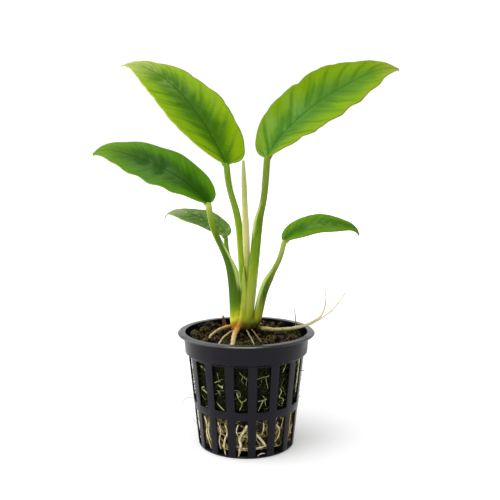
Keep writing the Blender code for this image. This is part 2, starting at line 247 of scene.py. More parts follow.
# %% [markdown]
# ## Net pot
#
# The pot is injection moulded from black polypropylene: a turned profile with two rows
# of slots between sixteen ribs, whose feet meet in a low ring round the floor. Its
# outer skin is spun sector by sector, the faces of each slot are deleted, Solidify
# gives the wall and Bevel rounds the edges that the mould leaves. Polypropylene looks
# satin, and its dark surface shows a faint violet cast, fine mottling and small darker
# wet marks.

# %% Net pot numbers
POT_WALL = 0.7                  # all sizes are in millimetres
LIP_TURN = 0.4                  # how far the edge of the rim turns down
COLLAR_TOP_RADIUS = 27.2
COLLAR_RADIUS = 26.6
COLLAR_BOTTOM = 41.4
STEP_BOTTOM = 40.3
WALL_TOP_RADIUS = 25.2
WALL_FOOT_RADIUS = 21.1
WALL_FOOT = 1.9
FLOOR_RADIUS = 20.4
FLOOR_DISC_RADIUS = 13.0
FOOT_RING = 0.5                 # height of the edge that joins the feet of the ribs
LOWER_SLOT_TOP = 17.1
UPPER_SLOT_BOTTOM = 20.6
UPPER_SLOT_TOP = 40.0
RIB_COUNT = 16
RIB_ANGLE = 9.0                 # degrees round the pot
FIRST_RIB = 6.35                # degrees to the right of the front
SECTOR = 360.0 / RIB_COUNT
POT_HEIGHT = size_of("net_pot")[1].z
RIM_RADIUS = size_of("net_pot")[1].x
print("pot", round(POT_HEIGHT, 1), "mm high, its rim", round(2.0 * RIM_RADIUS, 1), "mm across")


# %% Net pot shape
def wall_radius(height):
    """Outer radius of the tapered slotted wall at a height."""
    share = (height - WALL_FOOT) / (STEP_BOTTOM - WALL_FOOT)
    return WALL_FOOT_RADIUS + (WALL_TOP_RADIUS - WALL_FOOT_RADIUS) * share


def net_pot_shape():
    """The pot's outer skin with its slots open."""
    lip = POT_HEIGHT - POT_WALL
    profile = [
        (FLOOR_DISC_RADIUS, 0.0), (FLOOR_RADIUS, 0.0), (FLOOR_RADIUS + 0.5, FOOT_RING),
        (WALL_FOOT_RADIUS, WALL_FOOT),
        (wall_radius(LOWER_SLOT_TOP), LOWER_SLOT_TOP),
        (wall_radius(UPPER_SLOT_BOTTOM), UPPER_SLOT_BOTTOM),
        (wall_radius(UPPER_SLOT_TOP), UPPER_SLOT_TOP), (WALL_TOP_RADIUS, STEP_BOTTOM),
        (COLLAR_RADIUS, COLLAR_BOTTOM), (COLLAR_TOP_RADIUS, lip),
        (RIM_RADIUS - LIP_TURN - 0.5, lip), (RIM_RADIUS - LIP_TURN, lip - LIP_TURN),
    ]
    start = math.radians(-90.0 + FIRST_RIB - RIB_ANGLE / 2.0)
    shape = bmesh.new()
    points = [shape.verts.new((radius, 0.0, height)) for radius, height in profile]
    line = [shape.edges.new(pair) for pair in zip(points[:-1], points[1:])]
    bmesh.ops.rotate(shape, matrix=Matrix.Rotation(start, 3, "Z"), verts=points)
    moving = points + line
    for _ in range(RIB_COUNT):
        for angle, steps in ((RIB_ANGLE, 3), (SECTOR - RIB_ANGLE, 5)):
            turned = bmesh.ops.spin(
                shape, geom=moving, cent=(0.0, 0.0, 0.0), axis=(0.0, 0.0, 1.0),
                angle=math.radians(angle), steps=steps)
            moving = turned["geom_last"]
    bmesh.ops.remove_doubles(shape, verts=shape.verts, dist=0.01)

    def in_slot(face):
        middle = face.calc_center_median()
        around = math.degrees(math.atan2(middle.y, middle.x) - start) % SECTOR
        lower = FOOT_RING < middle.z < LOWER_SLOT_TOP
        upper = UPPER_SLOT_BOTTOM < middle.z < UPPER_SLOT_TOP
        return around > RIB_ANGLE and (lower or upper)

    slots = [face for face in shape.faces if in_slot(face)]
    bmesh.ops.delete(shape, geom=slots, context="FACES")
    inner_ring = [
        edge for edge in shape.edges
        if all(math.hypot(v.co.x, v.co.y) < FLOOR_DISC_RADIUS + 0.1 for v in edge.verts)
    ]
    bmesh.ops.edgeloop_fill(shape, edges=inner_ring)
    bmesh.ops.recalc_face_normals(shape, faces=shape.faces)
    base = min(shape.faces, key=lambda face: face.calc_center_median().length)
    if base.normal.z > 0.0:
        bmesh.ops.reverse_faces(shape, faces=shape.faces)
    return shape


# %% Moulded plastic
WALL_SHEEN = 0.19
LIP_SHEEN = 0.85


def moulded_polypropylene():
    """Black polypropylene, satin from the mould, with faint mottling and wet marks."""
    surface, node, shader = new_material(
        "moulded_black_polypropylene", IOR=1.49, Specular_IOR_Level=WALL_SHEEN)
    place = node("TexCoord").outputs["Object"]
    mottle = node("TexNoise", (place, PER_MM / 5.0, 4.0))
    marks = node("TexNoise", (place, PER_MM / 1.5, 2.0))
    marks = node("MapRange", (marks, 0.62, 0.68), **SOFT)
    tone = node("Mix", (mottle, "#040108", "#100a1c"), **COLOUR)
    tone = node("Mix", (marks, tone, "#030305"), **COLOUR)
    # The top of the rim is the smoothest place: it mirrors the room as a bright band.
    height = node("SeparateXYZ", [place]).outputs["Z"]
    lip = node("MapRange", (height, (POT_HEIGHT - 0.7) * MM, (POT_HEIGHT - 0.45) * MM), **SOFT)
    gloss = node("MapRange", (mottle, 0.35, 0.65, 0.24, 0.38), **SOFT)
    gloss = node("Math", (marks, -0.15, gloss), **TIMES_PLUS)
    grit = node("TexNoise", (place, PER_MM / 0.5, 3.0))
    link_up(
        shader, Base_Color=tone,
        Specular_IOR_Level=node("MapRange", (lip, 0.0, 1.0, WALL_SHEEN, LIP_SHEEN)),
        Roughness=node("Math", (lip, -0.12, gloss), **TIMES_PLUS),
        Normal=node("Bump", {"Height": grit, "Distance": 0.03 * MM}))
    return surface


pot = finish_piece(
    "moulded_pot", net_pot_shape(), [moulded_polypropylene()], ["net_pot"],
    sharp_angle=40.0)
pot_wall = pot.modifiers.new("wall", "SOLIDIFY")
pot_wall.thickness = POT_WALL * MM
pot_wall.offset = -1.0
pot_wall.use_even_offset = True
pot_edges = pot.modifiers.new("mould_rounding", "BEVEL")
pot_edges.width = 0.28 * MM
pot_edges.segments = 2
pot_edges.limit_method = "ANGLE"
pot_edges.angle_limit = math.radians(32.0)
pot_edges.harden_normals = False

# %% [markdown]
# ## Curves through stations
#
# Stalks and roots follow a smooth line through a few stations. The same function
# passes a curve through rows of any number of values, so the width of a stalk is
# smoothed along with its place. A ring is then extruded from station to station.

# %% Smooth paths
def smooth_path(stations, per_span):
    """Passes a smooth curve through stations of any number of values each."""
    rows = [list(station) for station in stations]
    rows = [rows[0], *rows, rows[-1]]
    path = []
    for before, here, there, after in zip(rows, rows[1:], rows[2:], rows[3:]):
        for step in range(per_span):
            t = step / per_span
            path.append([
                0.5 * (2 * b + (c - a) * t + (2 * a - 5 * b + 4 * c - d) * t ** 2
                       + (3 * b - a - 3 * c + d) * t ** 3)
                for a, b, c, d in zip(before, here, there, after)])
    path.append(rows[-1])
    return path


# %% Swept tubes
def swept_tube(path, sides, reference, section=None):
    """Extrudes an oval ring along x, y, z and two radii, and notes the share along it.

    A section function may swell the ring at an angle and a share of the length.
    """
    shape = bmesh.new()
    along_layer = shape.verts.layers.float.new("along")
    around_layer = shape.verts.layers.float.new("around")
    ring = bmesh.ops.create_circle(shape, cap_ends=True, segments=sides, radius=1.0)["verts"]
    rest = [vert.co.copy() for vert in ring]
    end = shape.faces[:]
    centres = [Vector(row[:3]) for row in path]
    for index, row in enumerate(path):
        if index:
            grown = bmesh.ops.extrude_face_region(shape, geom=end)["geom"]
            if index > 1:
                bmesh.ops.delete(shape, geom=end, context="FACES_ONLY")
            ring = [item for item in grown if isinstance(item, bmesh.types.BMVert)]
            end = [item for item in grown if isinstance(item, bmesh.types.BMFace)]
        ahead = centres[min(index + 1, len(path) - 1)]
        behind = centres[max(index - 1, 0)]
        forward = (ahead - behind).normalized()
        across = reference.cross(forward).normalized()
        inward = forward.cross(across)
        share = index / (len(path) - 1)
        for vert, place in zip(ring, rest):
            angle = math.atan2(place.y, place.x)
            swell = section(angle, share) if section else 1.0
            vert.co = centres[index] + swell * (
                across * place.x * row[3] + inward * place.y * row[4])
            vert[along_layer] = share
            vert[around_layer] = place.x
    bmesh.ops.recalc_face_normals(shape, faces=shape.faces)
    return shape


# %% Strands
def strands(name, paths, surface, thickness_steps=1, stands_for=()):
    """Many thin round strands as one mesh: each path is a list of x, y, z, radius."""
    curve = bpy.data.curves.new(name + "_paths", "CURVE")
    curve.dimensions = "3D"
    curve.bevel_depth = 1.0
    curve.bevel_resolution = thickness_steps
    curve.use_fill_caps = True
    for path in paths:
        spline = curve.splines.new("POLY")
        spline.points.add(len(path) - 1)
        spline.points.foreach_set("co", [v for row in path for v in (*row[:3], 1.0)])
        spline.points.foreach_set("radius", [row[3] for row in path])
    holder = bpy.data.objects.new(name + "_paths", curve)
    bpy.context.scene.collection.objects.link(holder)
    evaluated = holder.evaluated_get(bpy.context.evaluated_depsgraph_get())
    mesh = bpy.data.meshes.new_from_object(evaluated)
    bpy.data.objects.remove(holder)
    bpy.data.curves.remove(curve)
    mesh.name = name
    mesh.materials.clear()
    return finish_piece(name, mesh, [surface], stands_for)


# %% [markdown]
# ## Leaf blades
#
# A blade is a thin sheet that droops from the top of its stalk. Each one here is a
# flat grid laid on a bending midrib: the same few numbers as in the model give its
# heading, droop, roll and outline, and the finer grid adds the groove of the midrib,
# the low ripple of the side veins and the waved margin. Solidify gives the flesh, and
# its second material paints the paler underside.

# %% Blade numbers
BLADE_ROWS = 120
BLADE_COLUMNS = 44
LEAF_THICKNESS = 0.42           # millimetres, like all sizes; angles are in degrees
HOOK_FROM = 0.82                # share of the length where the tip starts to hook down

# Each blade: where its midrib starts; its heading (0 is to the right, 90 to the back)
# and climb there; how far it droops by the tip, and how late; its roll about the midrib;
# the powers that shape its outline at the base and the tip; how uneven its halves are;
# how far it is cupped; how far the tip hooks down; and, for each half, the lobe at the
# base and the waves of the margin: how many, from which phase and how high.
LEAVES = {
    "upper_left": {
        "base": (-8.5, 6.0, 121.5), "heading": 149, "climb": 60, "droop": 54,
        "droop_power": 1.6, "roll": -32, "length": 77.7, "width": 28.0,
        "base_power": 0.65, "tip_power": 1.1, "uneven": 0.35, "cup": 0.1, "hook": 14,
        "lobes": (0.0, 2.8), "ripple": ((2.5, 3.0, 0.3), (3.5, 5.5, 0.4)),
    },
    "upper_right": {
        "base": (9.0, 6.0, 124.5), "heading": 16, "climb": 75, "droop": 56,
        "droop_power": 0.4, "roll": 50, "length": 76.0, "width": 26.5,
        "base_power": 0.75, "tip_power": 0.95, "uneven": -0.2, "cup": 0.25, "hook": 27,
        "lobes": (2.6, 0.0), "ripple": ((2.0, 0.0, 0.7), (6.0, 3.3, 0.6)),
    },
    "middle_left": {
        "base": (-16.0, -1.0, 105.0), "heading": 173, "climb": 57, "droop": 50,
        "droop_power": 0.6, "roll": -47, "length": 57.5, "width": 20.5,
        "base_power": 0.65, "tip_power": 0.85, "uneven": 0.3, "cup": 0.05, "hook": 36,
        "lobes": (0.0, 1.2), "ripple": ((5.0, 0.0, 0.5), (3.5, 5.0, 0.3)),
    },
    "lower_left": {
        "base": (-9.0, 9.0, 90.0), "heading": 155, "climb": 58, "droop": 64,
        "droop_power": 0.55, "roll": -19, "length": 36.0, "width": 14.5,
        "base_power": 0.65, "tip_power": 1.15, "uneven": 0.3, "cup": 0.05, "hook": 68,
        "lobes": (0.0, 0.5), "ripple": ((2.0, 1.5, 0.4), (2.5, 1.0, 0.3)),
    },
    "lower_right": {
        "base": (16.0, -4.0, 89.5), "heading": -2, "climb": 56, "droop": 82,
        "droop_power": 0.7, "roll": 32, "length": 36.0, "width": 13.5,
        "base_power": 0.6, "tip_power": 1.0, "uneven": -0.25, "cup": 0.0, "hook": 43,
        "lobes": (0.5, 0.0), "ripple": ((2.0, 1.0, 0.3), (2.0, 6.0, 0.3)),
    },
}

# Each half of a blade has about nine main side veins, which sweep towards the tip.
VEIN_COUNT = 9
VEIN_SWEEP = 0.16               # how far, as a share of the length
LOBE_LENGTH = 0.06              # share of the length, of the rounded lobe at the base
SCALLOP = 0.6                   # millimetres, how far each vein draws in the margin
FULLNESS = 0.18                 # and how far the flesh swells it between them,
SCALLOP_WIDTH = 25.0            # both on a blade of this width

# Old nicks in a margin: share of the length, which half, and depth in millimetres.
NICKS = {"upper_right": (0.43, 0, 0.9)}
NICK_LENGTH = 0.03              # share of the length
print(len(LEAVES), "blades, the longest", max(leaf["length"] for leaf in LEAVES.values()), "mm")


# %% Midrib and outline
def midrib_frames(leaf, rows):
    """The midrib's points with the directions along it, across and out of the face."""
    frames = []
    place = Vector(leaf["base"])
    heading = math.radians(leaf["heading"])
    roll = math.radians(leaf["roll"])
    level = Vector((-math.sin(heading), math.cos(heading), 0.0))

    def direction(share):
        hook = leaf["hook"] * max(0.0, (share - HOOK_FROM) / (1.0 - HOOK_FROM))
        droop = leaf["droop"] * share ** leaf["droop_power"]
        climb = math.radians(leaf["climb"] - droop - hook)
        return Vector((
            math.cos(climb) * math.cos(heading),
            math.cos(climb) * math.sin(heading),
            math.sin(climb)))

    # The rows lie closer together near the base, where the outline turns fastest.
    shares = [(row / rows) ** 1.35 for row in range(rows + 1)]
    for before, share in zip([0.0, *shares], shares):
        place = place + direction((before + share) / 2.0) * leaf["length"] * (share - before)
        upward = direction(share).cross(level)
        across = level * math.cos(roll) + upward * math.sin(roll)
        out = upward * math.cos(roll) - level * math.sin(roll)
        frames.append((share, place, direction(share), across, out))
    return frames


def half_width(leaf, share, side):
    """Width of one half of the blade at a share of its length, blunt at the base."""
    rise = leaf["base_power"] * (1.0 + math.copysign(1.0, side) * leaf["uneven"])
    fall = leaf["tip_power"]
    peak = rise / (rise + fall)
    share = min(max(share, 0.006), 0.985)
    shape = (share / peak) ** rise * ((1.0 - share) / (1.0 - peak)) ** fall
    return leaf["width"] / 2.0 * shape


# %% Blade shape
def blade_shape(name, leaf):
    """A fine grid laid on the midrib, with share and side kept as its UV map."""
    frames = midrib_frames(leaf, BLADE_ROWS)
    shape = bmesh.new()
    bmesh.ops.create_grid(shape, x_segments=BLADE_ROWS, y_segments=BLADE_COLUMNS, size=1.0)
    plan = {}
    for vert in shape.verts:
        side = vert.co.y
        row = round((vert.co.x + 1.0) / 2.0 * BLADE_ROWS)
        share, place, along, across, out = frames[row]
        half = 0 if side > 0.0 else 1
        lobe = leaf["lobes"][half] * side * side
        lobe *= share / LOBE_LENGTH * math.exp(1.0 - share / LOBE_LENGTH)
        waves, phase, size = leaf["ripple"][half]
        turn = math.tau * waves * share + phase
        size = size * math.sin(math.pi * share) * side * side
        reach = half_width(leaf, share, side) * abs(side) + size * math.sin(turn)
        nick_share, nick_half, nick_depth = NICKS.get(name, (0.0, 2, 0.0))
        if half == nick_half and share > nick_share - NICK_LENGTH:
            past = max(0.0, share - nick_share) / NICK_LENGTH
            start = min(1.0, (share - nick_share) / NICK_LENGTH + 1.0)
            reach -= nick_depth * start * math.exp(-past) * abs(side) ** 3
        vein = VEIN_COUNT * (share - VEIN_SWEEP * abs(side) ** 1.15)
        vein += 0.3 * noise.noise(Vector((5.0 * share, side, leaf["length"])))
        field = 0.5 + 0.5 * math.cos(math.tau * vein)
        pull = 0.5 + noise.noise(Vector((4.0 * share, 3.0 * side, leaf["width"])))
        drawn_in = SCALLOP * max(0.0, pull) * (1.0 - field) ** 3 * side ** 6
        middle = math.sin(math.pi * share)
        swollen = (FULLNESS * abs(side) ** 3 - drawn_in) * middle
        reach += swollen * (leaf["width"] / SCALLOP_WIDTH) ** 2
        lift = leaf["cup"] * reach * abs(side) + 0.6 * size * math.cos(turn)
        relief = 0.2 * (field - 0.5) * min(1.0, reach / 1.5) * (1.0 - side ** 4)
        groove = -0.3 * math.exp(-((reach / 0.55) ** 2)) * (1.0 - 0.7 * share)
        drape = 0.25 * noise.noise(place * 0.09 + across * side * 0.9)
        lift += relief + groove + drape * side * side
        vert.co = place - along * lobe + across * math.copysign(reach, side) + out * lift
        plan[vert] = (share, (side + 1.0) / 2.0)
    sheet = shape.loops.layers.uv.new("plan")
    for face in shape.faces:
        for loop in face.loops:
            loop[sheet].uv = plan[loop.vert]
    return shape


# %% [markdown]
# ## Leaf skin
#
# Anubias leaves are thick and waxy. Colour runs across the blade: dark along the
# midrib, fresh green in the halves, yellow towards the margin where light comes
# through. Side veins show as darker lines that curve to the tip. The pattern is
# worked out from the blade's own UV map, where U is the share of the length and V
# runs from one margin to the other, so it follows the blade wherever it bends.

# %% Leaf colours
# Each blade: the colours of its halves, margin, dark middle, painted sheen, veins, two
# edges, underside and tip; how wide and dark the middle is; where the painted sheen lies
# along and across the blade and how strong it is; where the tip's tone starts; and how
# strong the specks, the veins and the haze in the painted sheen are.
LEAF_LOOKS = {
    "upper_left": {
        "body": "#5c8a00", "margin": "#84a800", "middle": "#346200", "painted_sheen": "#94ae58",
        "vein": "#2c5800", "edges": ("#a8b83c", "#74701c"), "under": "#62841c", "tip": "#b4bc60",
        "band": 0.5, "dark": 0.95, "painted_sheen_place": 0.74, "painted_sheen_side": -0.1, "painted_sheen_share": 0.5,
        "tip_from": 0.65, "speckle": 0.08, "vein_share": 0.55, "haze": 0.75,
    },
    "upper_right": {
        "body": "#5f8c14", "margin": "#7c9f0c", "middle": "#3b7020", "painted_sheen": "#70a048",
        "vein": "#3a6c08", "edges": ("#808a1c", "#8a8420"), "under": "#72902c", "tip": "#a0aa30",
        "band": 0.4, "dark": 0.75, "painted_sheen_place": 0.16, "painted_sheen_side": 0.3, "painted_sheen_share": 0.6,
        "tip_from": 0.8, "speckle": 0.06, "vein_share": 0.62, "haze": 0.6,
    },
    "middle_left": {
        "body": "#2c5a00", "margin": "#528808", "middle": "#224c00", "painted_sheen": "#547c38",
        "vein": "#1c4800", "edges": ("#74921c", "#4c6c0c"), "under": "#446e22", "tip": "#6c9420",
        "band": 0.42, "dark": 0.7, "painted_sheen_place": 0.5, "painted_sheen_side": 0.3, "painted_sheen_share": 0.6,
        "tip_from": 0.6, "speckle": 0.06, "vein_share": 0.3, "haze": 0.8,
    },
    "lower_left": {
        "body": "#6e9c38", "margin": "#7ca040", "middle": "#447420", "painted_sheen": "#b8c494",
        "vein": "#3c6418", "edges": ("#a8b478", "#70884c"), "under": "#64804c", "tip": "#b0b87c",
        "band": 0.4, "dark": 0.5, "painted_sheen_place": 0.85, "painted_sheen_side": 0.0, "painted_sheen_share": 0.85,
        "tip_from": 0.55, "speckle": 0.65, "vein_share": 0.35, "haze": 0.8,
    },
    "lower_right": {
        "body": "#467200", "margin": "#5a8800", "middle": "#285a00", "painted_sheen": "#648c34",
        "vein": "#2c5c00", "edges": ("#5c840c", "#6c7828"), "under": "#7c9434", "tip": "#5c8410",
        "band": 0.4, "dark": 0.7, "painted_sheen_place": 0.5, "painted_sheen_side": -0.35, "painted_sheen_share": 0.7,
        "tip_from": 0.8, "speckle": 0.05, "vein_share": 0.2, "haze": 0.8,
    },
}
STREAK_COUNT = 30               # streaks between the side veins, along one blade
print("colours for", len(LEAF_LOOKS), "blades")


# %% Leaf skin
def leaf_skin(name, looks):
    """Waxy leaf skin: midrib, side veins, yellower margins and a painted sheen."""
    surface, node, shader = new_material(name, IOR=1.45, Specular_IOR_Level=0.08)
    coords = node("TexCoord")
    place = coords.outputs["Object"]
    plan = node("SeparateXYZ", [coords.outputs["UV"]])
    share = plan.outputs["X"]
    side = node("Math", (plan.outputs["Y"], 2.0, -1.0), **TIMES_PLUS)
    reach = node("Math", [side], operation="ABSOLUTE")
    blotch = node("TexNoise", (place, PER_MM / 11.0, 3.0))
    fine = node("TexNoise", (place, PER_MM / 1.4, 3.0))

    # Every side vein follows a line of one value, and so do the streaks between them.
    sweep = node("Math", (reach, 1.15), operation="POWER")
    line = node("Math", (sweep, -VEIN_SWEEP, share), **TIMES_PLUS)
    line = node("Math", (blotch, 0.05, line), **TIMES_PLUS)
    turns = node("Math", (line, math.tau * VEIN_COUNT), **TIMES)
    wave = node("Math", [turns], operation="COSINE")
    wave = node("Math", (wave, -0.5, 0.5), **TIMES_PLUS)
    vein = node("Math", (wave, 7.0), operation="POWER")
    drawn = node("CombineXYZ", (
        node("Math", (line, STREAK_COUNT), **TIMES), reach,
        node("Math", [side], operation="SIGN")))
    streaks = node("TexNoise", (drawn, 1.0, 4.0))

    # The halves turn yellower outwards and darker inwards, and the tip has its own tone.
    wander = node("Math", (blotch, 0.5, -0.25), **TIMES_PLUS)
    wander = node("Math", (streaks, 0.5, wander), **TIMES_PLUS)
    spread = node("Math", (reach, wander), operation="ADD")
    outer = node("MapRange", (spread, 0.5, 1.15), **SOFT)
    inner = node("MapRange", (spread, 0.3, 0.42 + looks["band"], looks["dark"], 0.0), **SOFT)
    ends = node("MapRange", (share, 0.5, 0.9, 1.0, 0.15), **SOFT)
    inner = node("Math", (inner, ends), **TIMES)
    tip = node("MapRange", (share, looks["tip_from"], 1.0, 0.0, 0.85), **SOFT)

    # Painted sheen lies in streaks round one place on the blade, and in specks.
    off = node("Math", (share, looks["painted_sheen_place"]), operation="SUBTRACT")
    off = node("Math", (off, 3.0), **TIMES)
    aside = node("Math", (side, looks["painted_sheen_side"]), operation="SUBTRACT")
    away = node("VectorMath", [node("CombineXYZ", (off, aside))], operation="LENGTH")
    painted_sheen_mask = node("MapRange", (away.outputs["Value"], 0.3, 1.0, looks["painted_sheen_share"], 0.0), **SOFT)
    film = node("Mix", (looks["haze"], streaks, blotch))
    painted_sheen_mask = node("Math", (painted_sheen_mask, node("MapRange", (film, 0.43, 0.57), **SOFT)), **TIMES)
    speck = node("MapRange", (fine, 0.52, 0.66, 0.0, looks["speckle"]), **SOFT)

    # Side veins start at the midrib, come and go, and fade to the margin and the tip.
    full = looks["vein_share"]
    start = node("MapRange", (reach, 0.03, 0.2), **SOFT)
    strength = start
    for fading in (
            node("MapRange", (reach, 0.75, 1.0, 1.0, 0.25), **SOFT),
            node("MapRange", (share, 0.6, 0.95, 1.0, 0.3)),
            node("MapRange", (blotch, 0.35, 0.62, 0.3 * full, full), **SOFT)):
        strength = node("Math", (strength, fading), **TIMES)
    main = node("Math", (vein, strength), **TIMES)
    small = node("MapRange", (streaks, 0.42, 0.3, 0.0, 0.6 * full), **SOFT)
    small = node("Math", (node("Math", (small, start), **TIMES), ends), **TIMES)
    rib = node("MapRange", (reach, 0.012, 0.04, 0.85, 0.0), **SOFT)

    tone = looks["body"]
    for mask, part in (
            (outer, "margin"), (inner, "middle"), (tip, "tip"), (painted_sheen_mask, "painted_sheen"),
            (speck, "painted_sheen"), (main, "vein"), (small, "vein"), (rib, "vein")):
        tone = node("Mix", (mask, tone, looks[part]), **COLOUR)
    first_half = node("Math", (side, 0.0), operation="GREATER_THAN")
    edge = node("Mix", (first_half, looks["edges"][1], looks["edges"][0]), **COLOUR)
    rim = node("MapRange", (reach, 0.95, 0.99, 0.0, 0.85), **SOFT)
    tone = node("Mix", (rim, tone, edge), **COLOUR)

    height = node("Math", (streaks, 0.8, fine), **TIMES_PLUS)
    height = node("Math", (vein, -0.6, height), **TIMES_PLUS)
    link_up(
        shader, Base_Color=tone,
        Roughness=node("MapRange", (blotch, 0.3, 0.7, 0.36, 0.52), **SOFT),
        Normal=node("Bump", {"Height": height, "Distance": 0.06 * MM}))
    return surface


# %% Leaf underside
def leaf_underside(name, looks):
    """The underside: paler and duller, with the midrib standing out."""
    surface, node, shader = new_material(name, IOR=1.45, Specular_IOR_Level=0.25)
    coords = node("TexCoord")
    place = coords.outputs["Object"]
    plan = node("SeparateXYZ", [coords.outputs["UV"]])
    side = node("Math", (plan.outputs["Y"], 2.0, -1.0), **TIMES_PLUS)
    reach = node("Math", [side], operation="ABSOLUTE")
    blotch = node("TexNoise", (place, PER_MM / 8.0, 3.0))
    fine = node("TexNoise", (place, PER_MM / 0.8, 3.0))
    tone = node("Mix", (blotch, looks["under"], looks["body"]), **COLOUR)
    rib = node("MapRange", (reach, 0.02, 0.07, 0.7, 0.0), **SOFT)
    link_up(
        shader, Base_Color=node("Mix", (rib, tone, looks["edges"][0]), **COLOUR),
        Roughness=node("MapRange", (reach, 0.0, 1.0, 0.5, 0.6)),
        Normal=node("Bump", {"Height": fine, "Distance": 0.05 * MM}))
    return surface


# %% Leaf blades
for place, leaf in LEAVES.items():
    looks = LEAF_LOOKS[place]
    blade = finish_piece(
        "blade_" + place, blade_shape(place, leaf),
        [leaf_skin("waxy_leaf_" + place, looks),
         leaf_underside("leaf_underside_" + place, looks)],
        ["leaf_blade_" + place])
    flesh = blade.modifiers.new("flesh", "SOLIDIFY")
    flesh.thickness = LEAF_THICKNESS * MM
    flesh.offset = 0.0
    flesh.material_offset = 1

# %% [markdown]
# ## Leaf stalks and the rolled leaf
#
# A stalk is a fleshy oval rod. Its foot widens into a sheath that wraps its
# neighbours, which is why the stalks run into one another above the rhizome. The
# youngest leaf is still rolled up: a slender cone with one overlapping edge that
# winds round it.

# %% Stalk numbers
SHEATH_FOOT = 51.8              # inside the rhizome
CROWN_LOW = 49.5                # the crown's colours run from here
CROWN_HIGH = 64.0               # to here
WRAP_TOP = 66.0                 # below it the sheaths wrap one another
SKIN_OVER = 0.18                # closes the gaps that the model keeps between stalks
MIDRIB_END = 0.7                # share of the blade that the raised midrib reaches

# Each stalk: its foot on the rhizome; how far it bends aside, at what height and how
# softly; the powers that spread its lean and its way back over the height; its radius;
# and its sheath's half width, with the height and softness of its end.
STALKS = {
    "upper_left": {
        "foot": (-0.6, 2.5), "bend": -4.0, "bend_height": 106, "bend_soft": 8.0,
        "lean_power": 1.0, "back_power": 1.0, "radius": 1.15, "sheath": 1.35,
        "sheath_end": 104, "sheath_soft": 5.0,
    },
    "upper_right": {
        "foot": (0.3, -2.0), "bend": 2.0, "bend_height": 102, "bend_soft": 5.0,
        "lean_power": 0.75, "back_power": 1.4, "radius": 1.25, "sheath": 1.95,
        "sheath_end": 100, "sheath_soft": 4.0,
    },
    "middle_left": {
        "foot": (-4.4, -2.0), "bend": -10.5, "bend_height": 87, "bend_soft": 11.0,
        "lean_power": 1.0, "back_power": 1.0, "radius": 1.15, "sheath": 2.35,
        "sheath_end": 79, "sheath_soft": 7.0,
    },
    "lower_left": {
        "foot": (-3.8, 3.2), "bend": -5.2, "bend_height": 78, "bend_soft": 5.5,
        "lean_power": 1.0, "back_power": 0.7, "radius": 0.8, "sheath": 1.4,
        "sheath_end": 79, "sheath_soft": 3.0,
    },
    "lower_right": {
        "foot": (4.35, -1.0), "bend": 7.0, "bend_height": 76, "bend_soft": 8.0,
        "lean_power": 0.75, "back_power": 1.0, "radius": 0.95, "sheath": 1.75,
        "sheath_end": 75, "sheath_soft": 2.0,
    },
}
STALK_FOOT = 55.0               # height of the feet of all stalks
STALK_DROP = 0.45               # from the blade's sheet down to the top of its stalk
STALK_STEPS = 60

# The youngest leaf, still rolled up in a point: a spindle, widest halfway up.
ROLLED_FOOT = (2.3, 2.5)
ROLLED_TIP = (-1.3, 1.0, 123.5)
ROLLED_LEAN_POWER = 0.6
ROLLED_RADIUS = 0.95
ROLLED_SWELL = 0.5
ROLLED_SWELL_HEIGHT = 92.0
ROLLED_SWELL_LENGTH = 13.0
ROLLED_POINT_LENGTH = 14.0
print(len(STALKS), "stalks and one rolled leaf, its tip", ROLLED_TIP[2], "mm up")

# %% Stalk colours
# The face of each stalk: colours at heights in millimetres. Its left and right flanks,
# which are the thin pale margins of the sheath: colour, from and to what height, and
# how far out from the middle they start.
STALK_LOOKS = {
    "upper_left": {
        "face": (
            (66, "#84a010"), (80, "#98b41c"), (92, "#7c9a08"), (107, "#74922c"), (121, "#64880c")),
        "left": ("#b4ca5c", 60, 96, 0.4), "right": ("#a8b848", 66, 92, 0.5),
    },
    "upper_right": {
        "face": (
            (64, "#a0a83c"), (73, "#8ca01c"), (82, "#6c8a00"), (97, "#587800"), (108, "#6c8420")),
        "left": ("#bccc7c", 92, 105, 0.25), "right": ("#b4bc78", 58, 78, 0.5),
    },
    "middle_left": {
        "face": (
            (62, "#4c7800"), (70, "#406200"), (90, "#466600"), (98, "#749014"), (104, "#a4b450")),
        "left": ("#8ca848", 84, 100, 0.45), "right": ("#c4d87c", 70, 88, 0.3),
    },
    "lower_left": {
        "face": ((62, "#90b024"), (74, "#8cac2c"), (82, "#6c9018"), (90, "#5c8018")),
        "left": ("#b0c878", 60, 80, 0.3), "right": ("#c8d890", 64, 80, 0.3),
    },
    "lower_right": {
        "face": (
            (63, "#466400"), (70, "#446000"), (75, "#60741a"), (80, "#88983c"), (88, "#9cac50")),
        "left": ("#b0c868", 58, 77, 0.1), "right": ("#70861c", 70, 84, 0.3),
    },
    "rolled": {
        "face": (
            (66, "#8c9c28"), (73, "#96a83c"), (82, "#b8be5c"), (90, "#ccc878"), (112, "#a8b060")),
        "left": ("#d8d898", 84, 104, 0.4), "right": ("#e0dcb0", 82, 106, 0.4),
    },
}


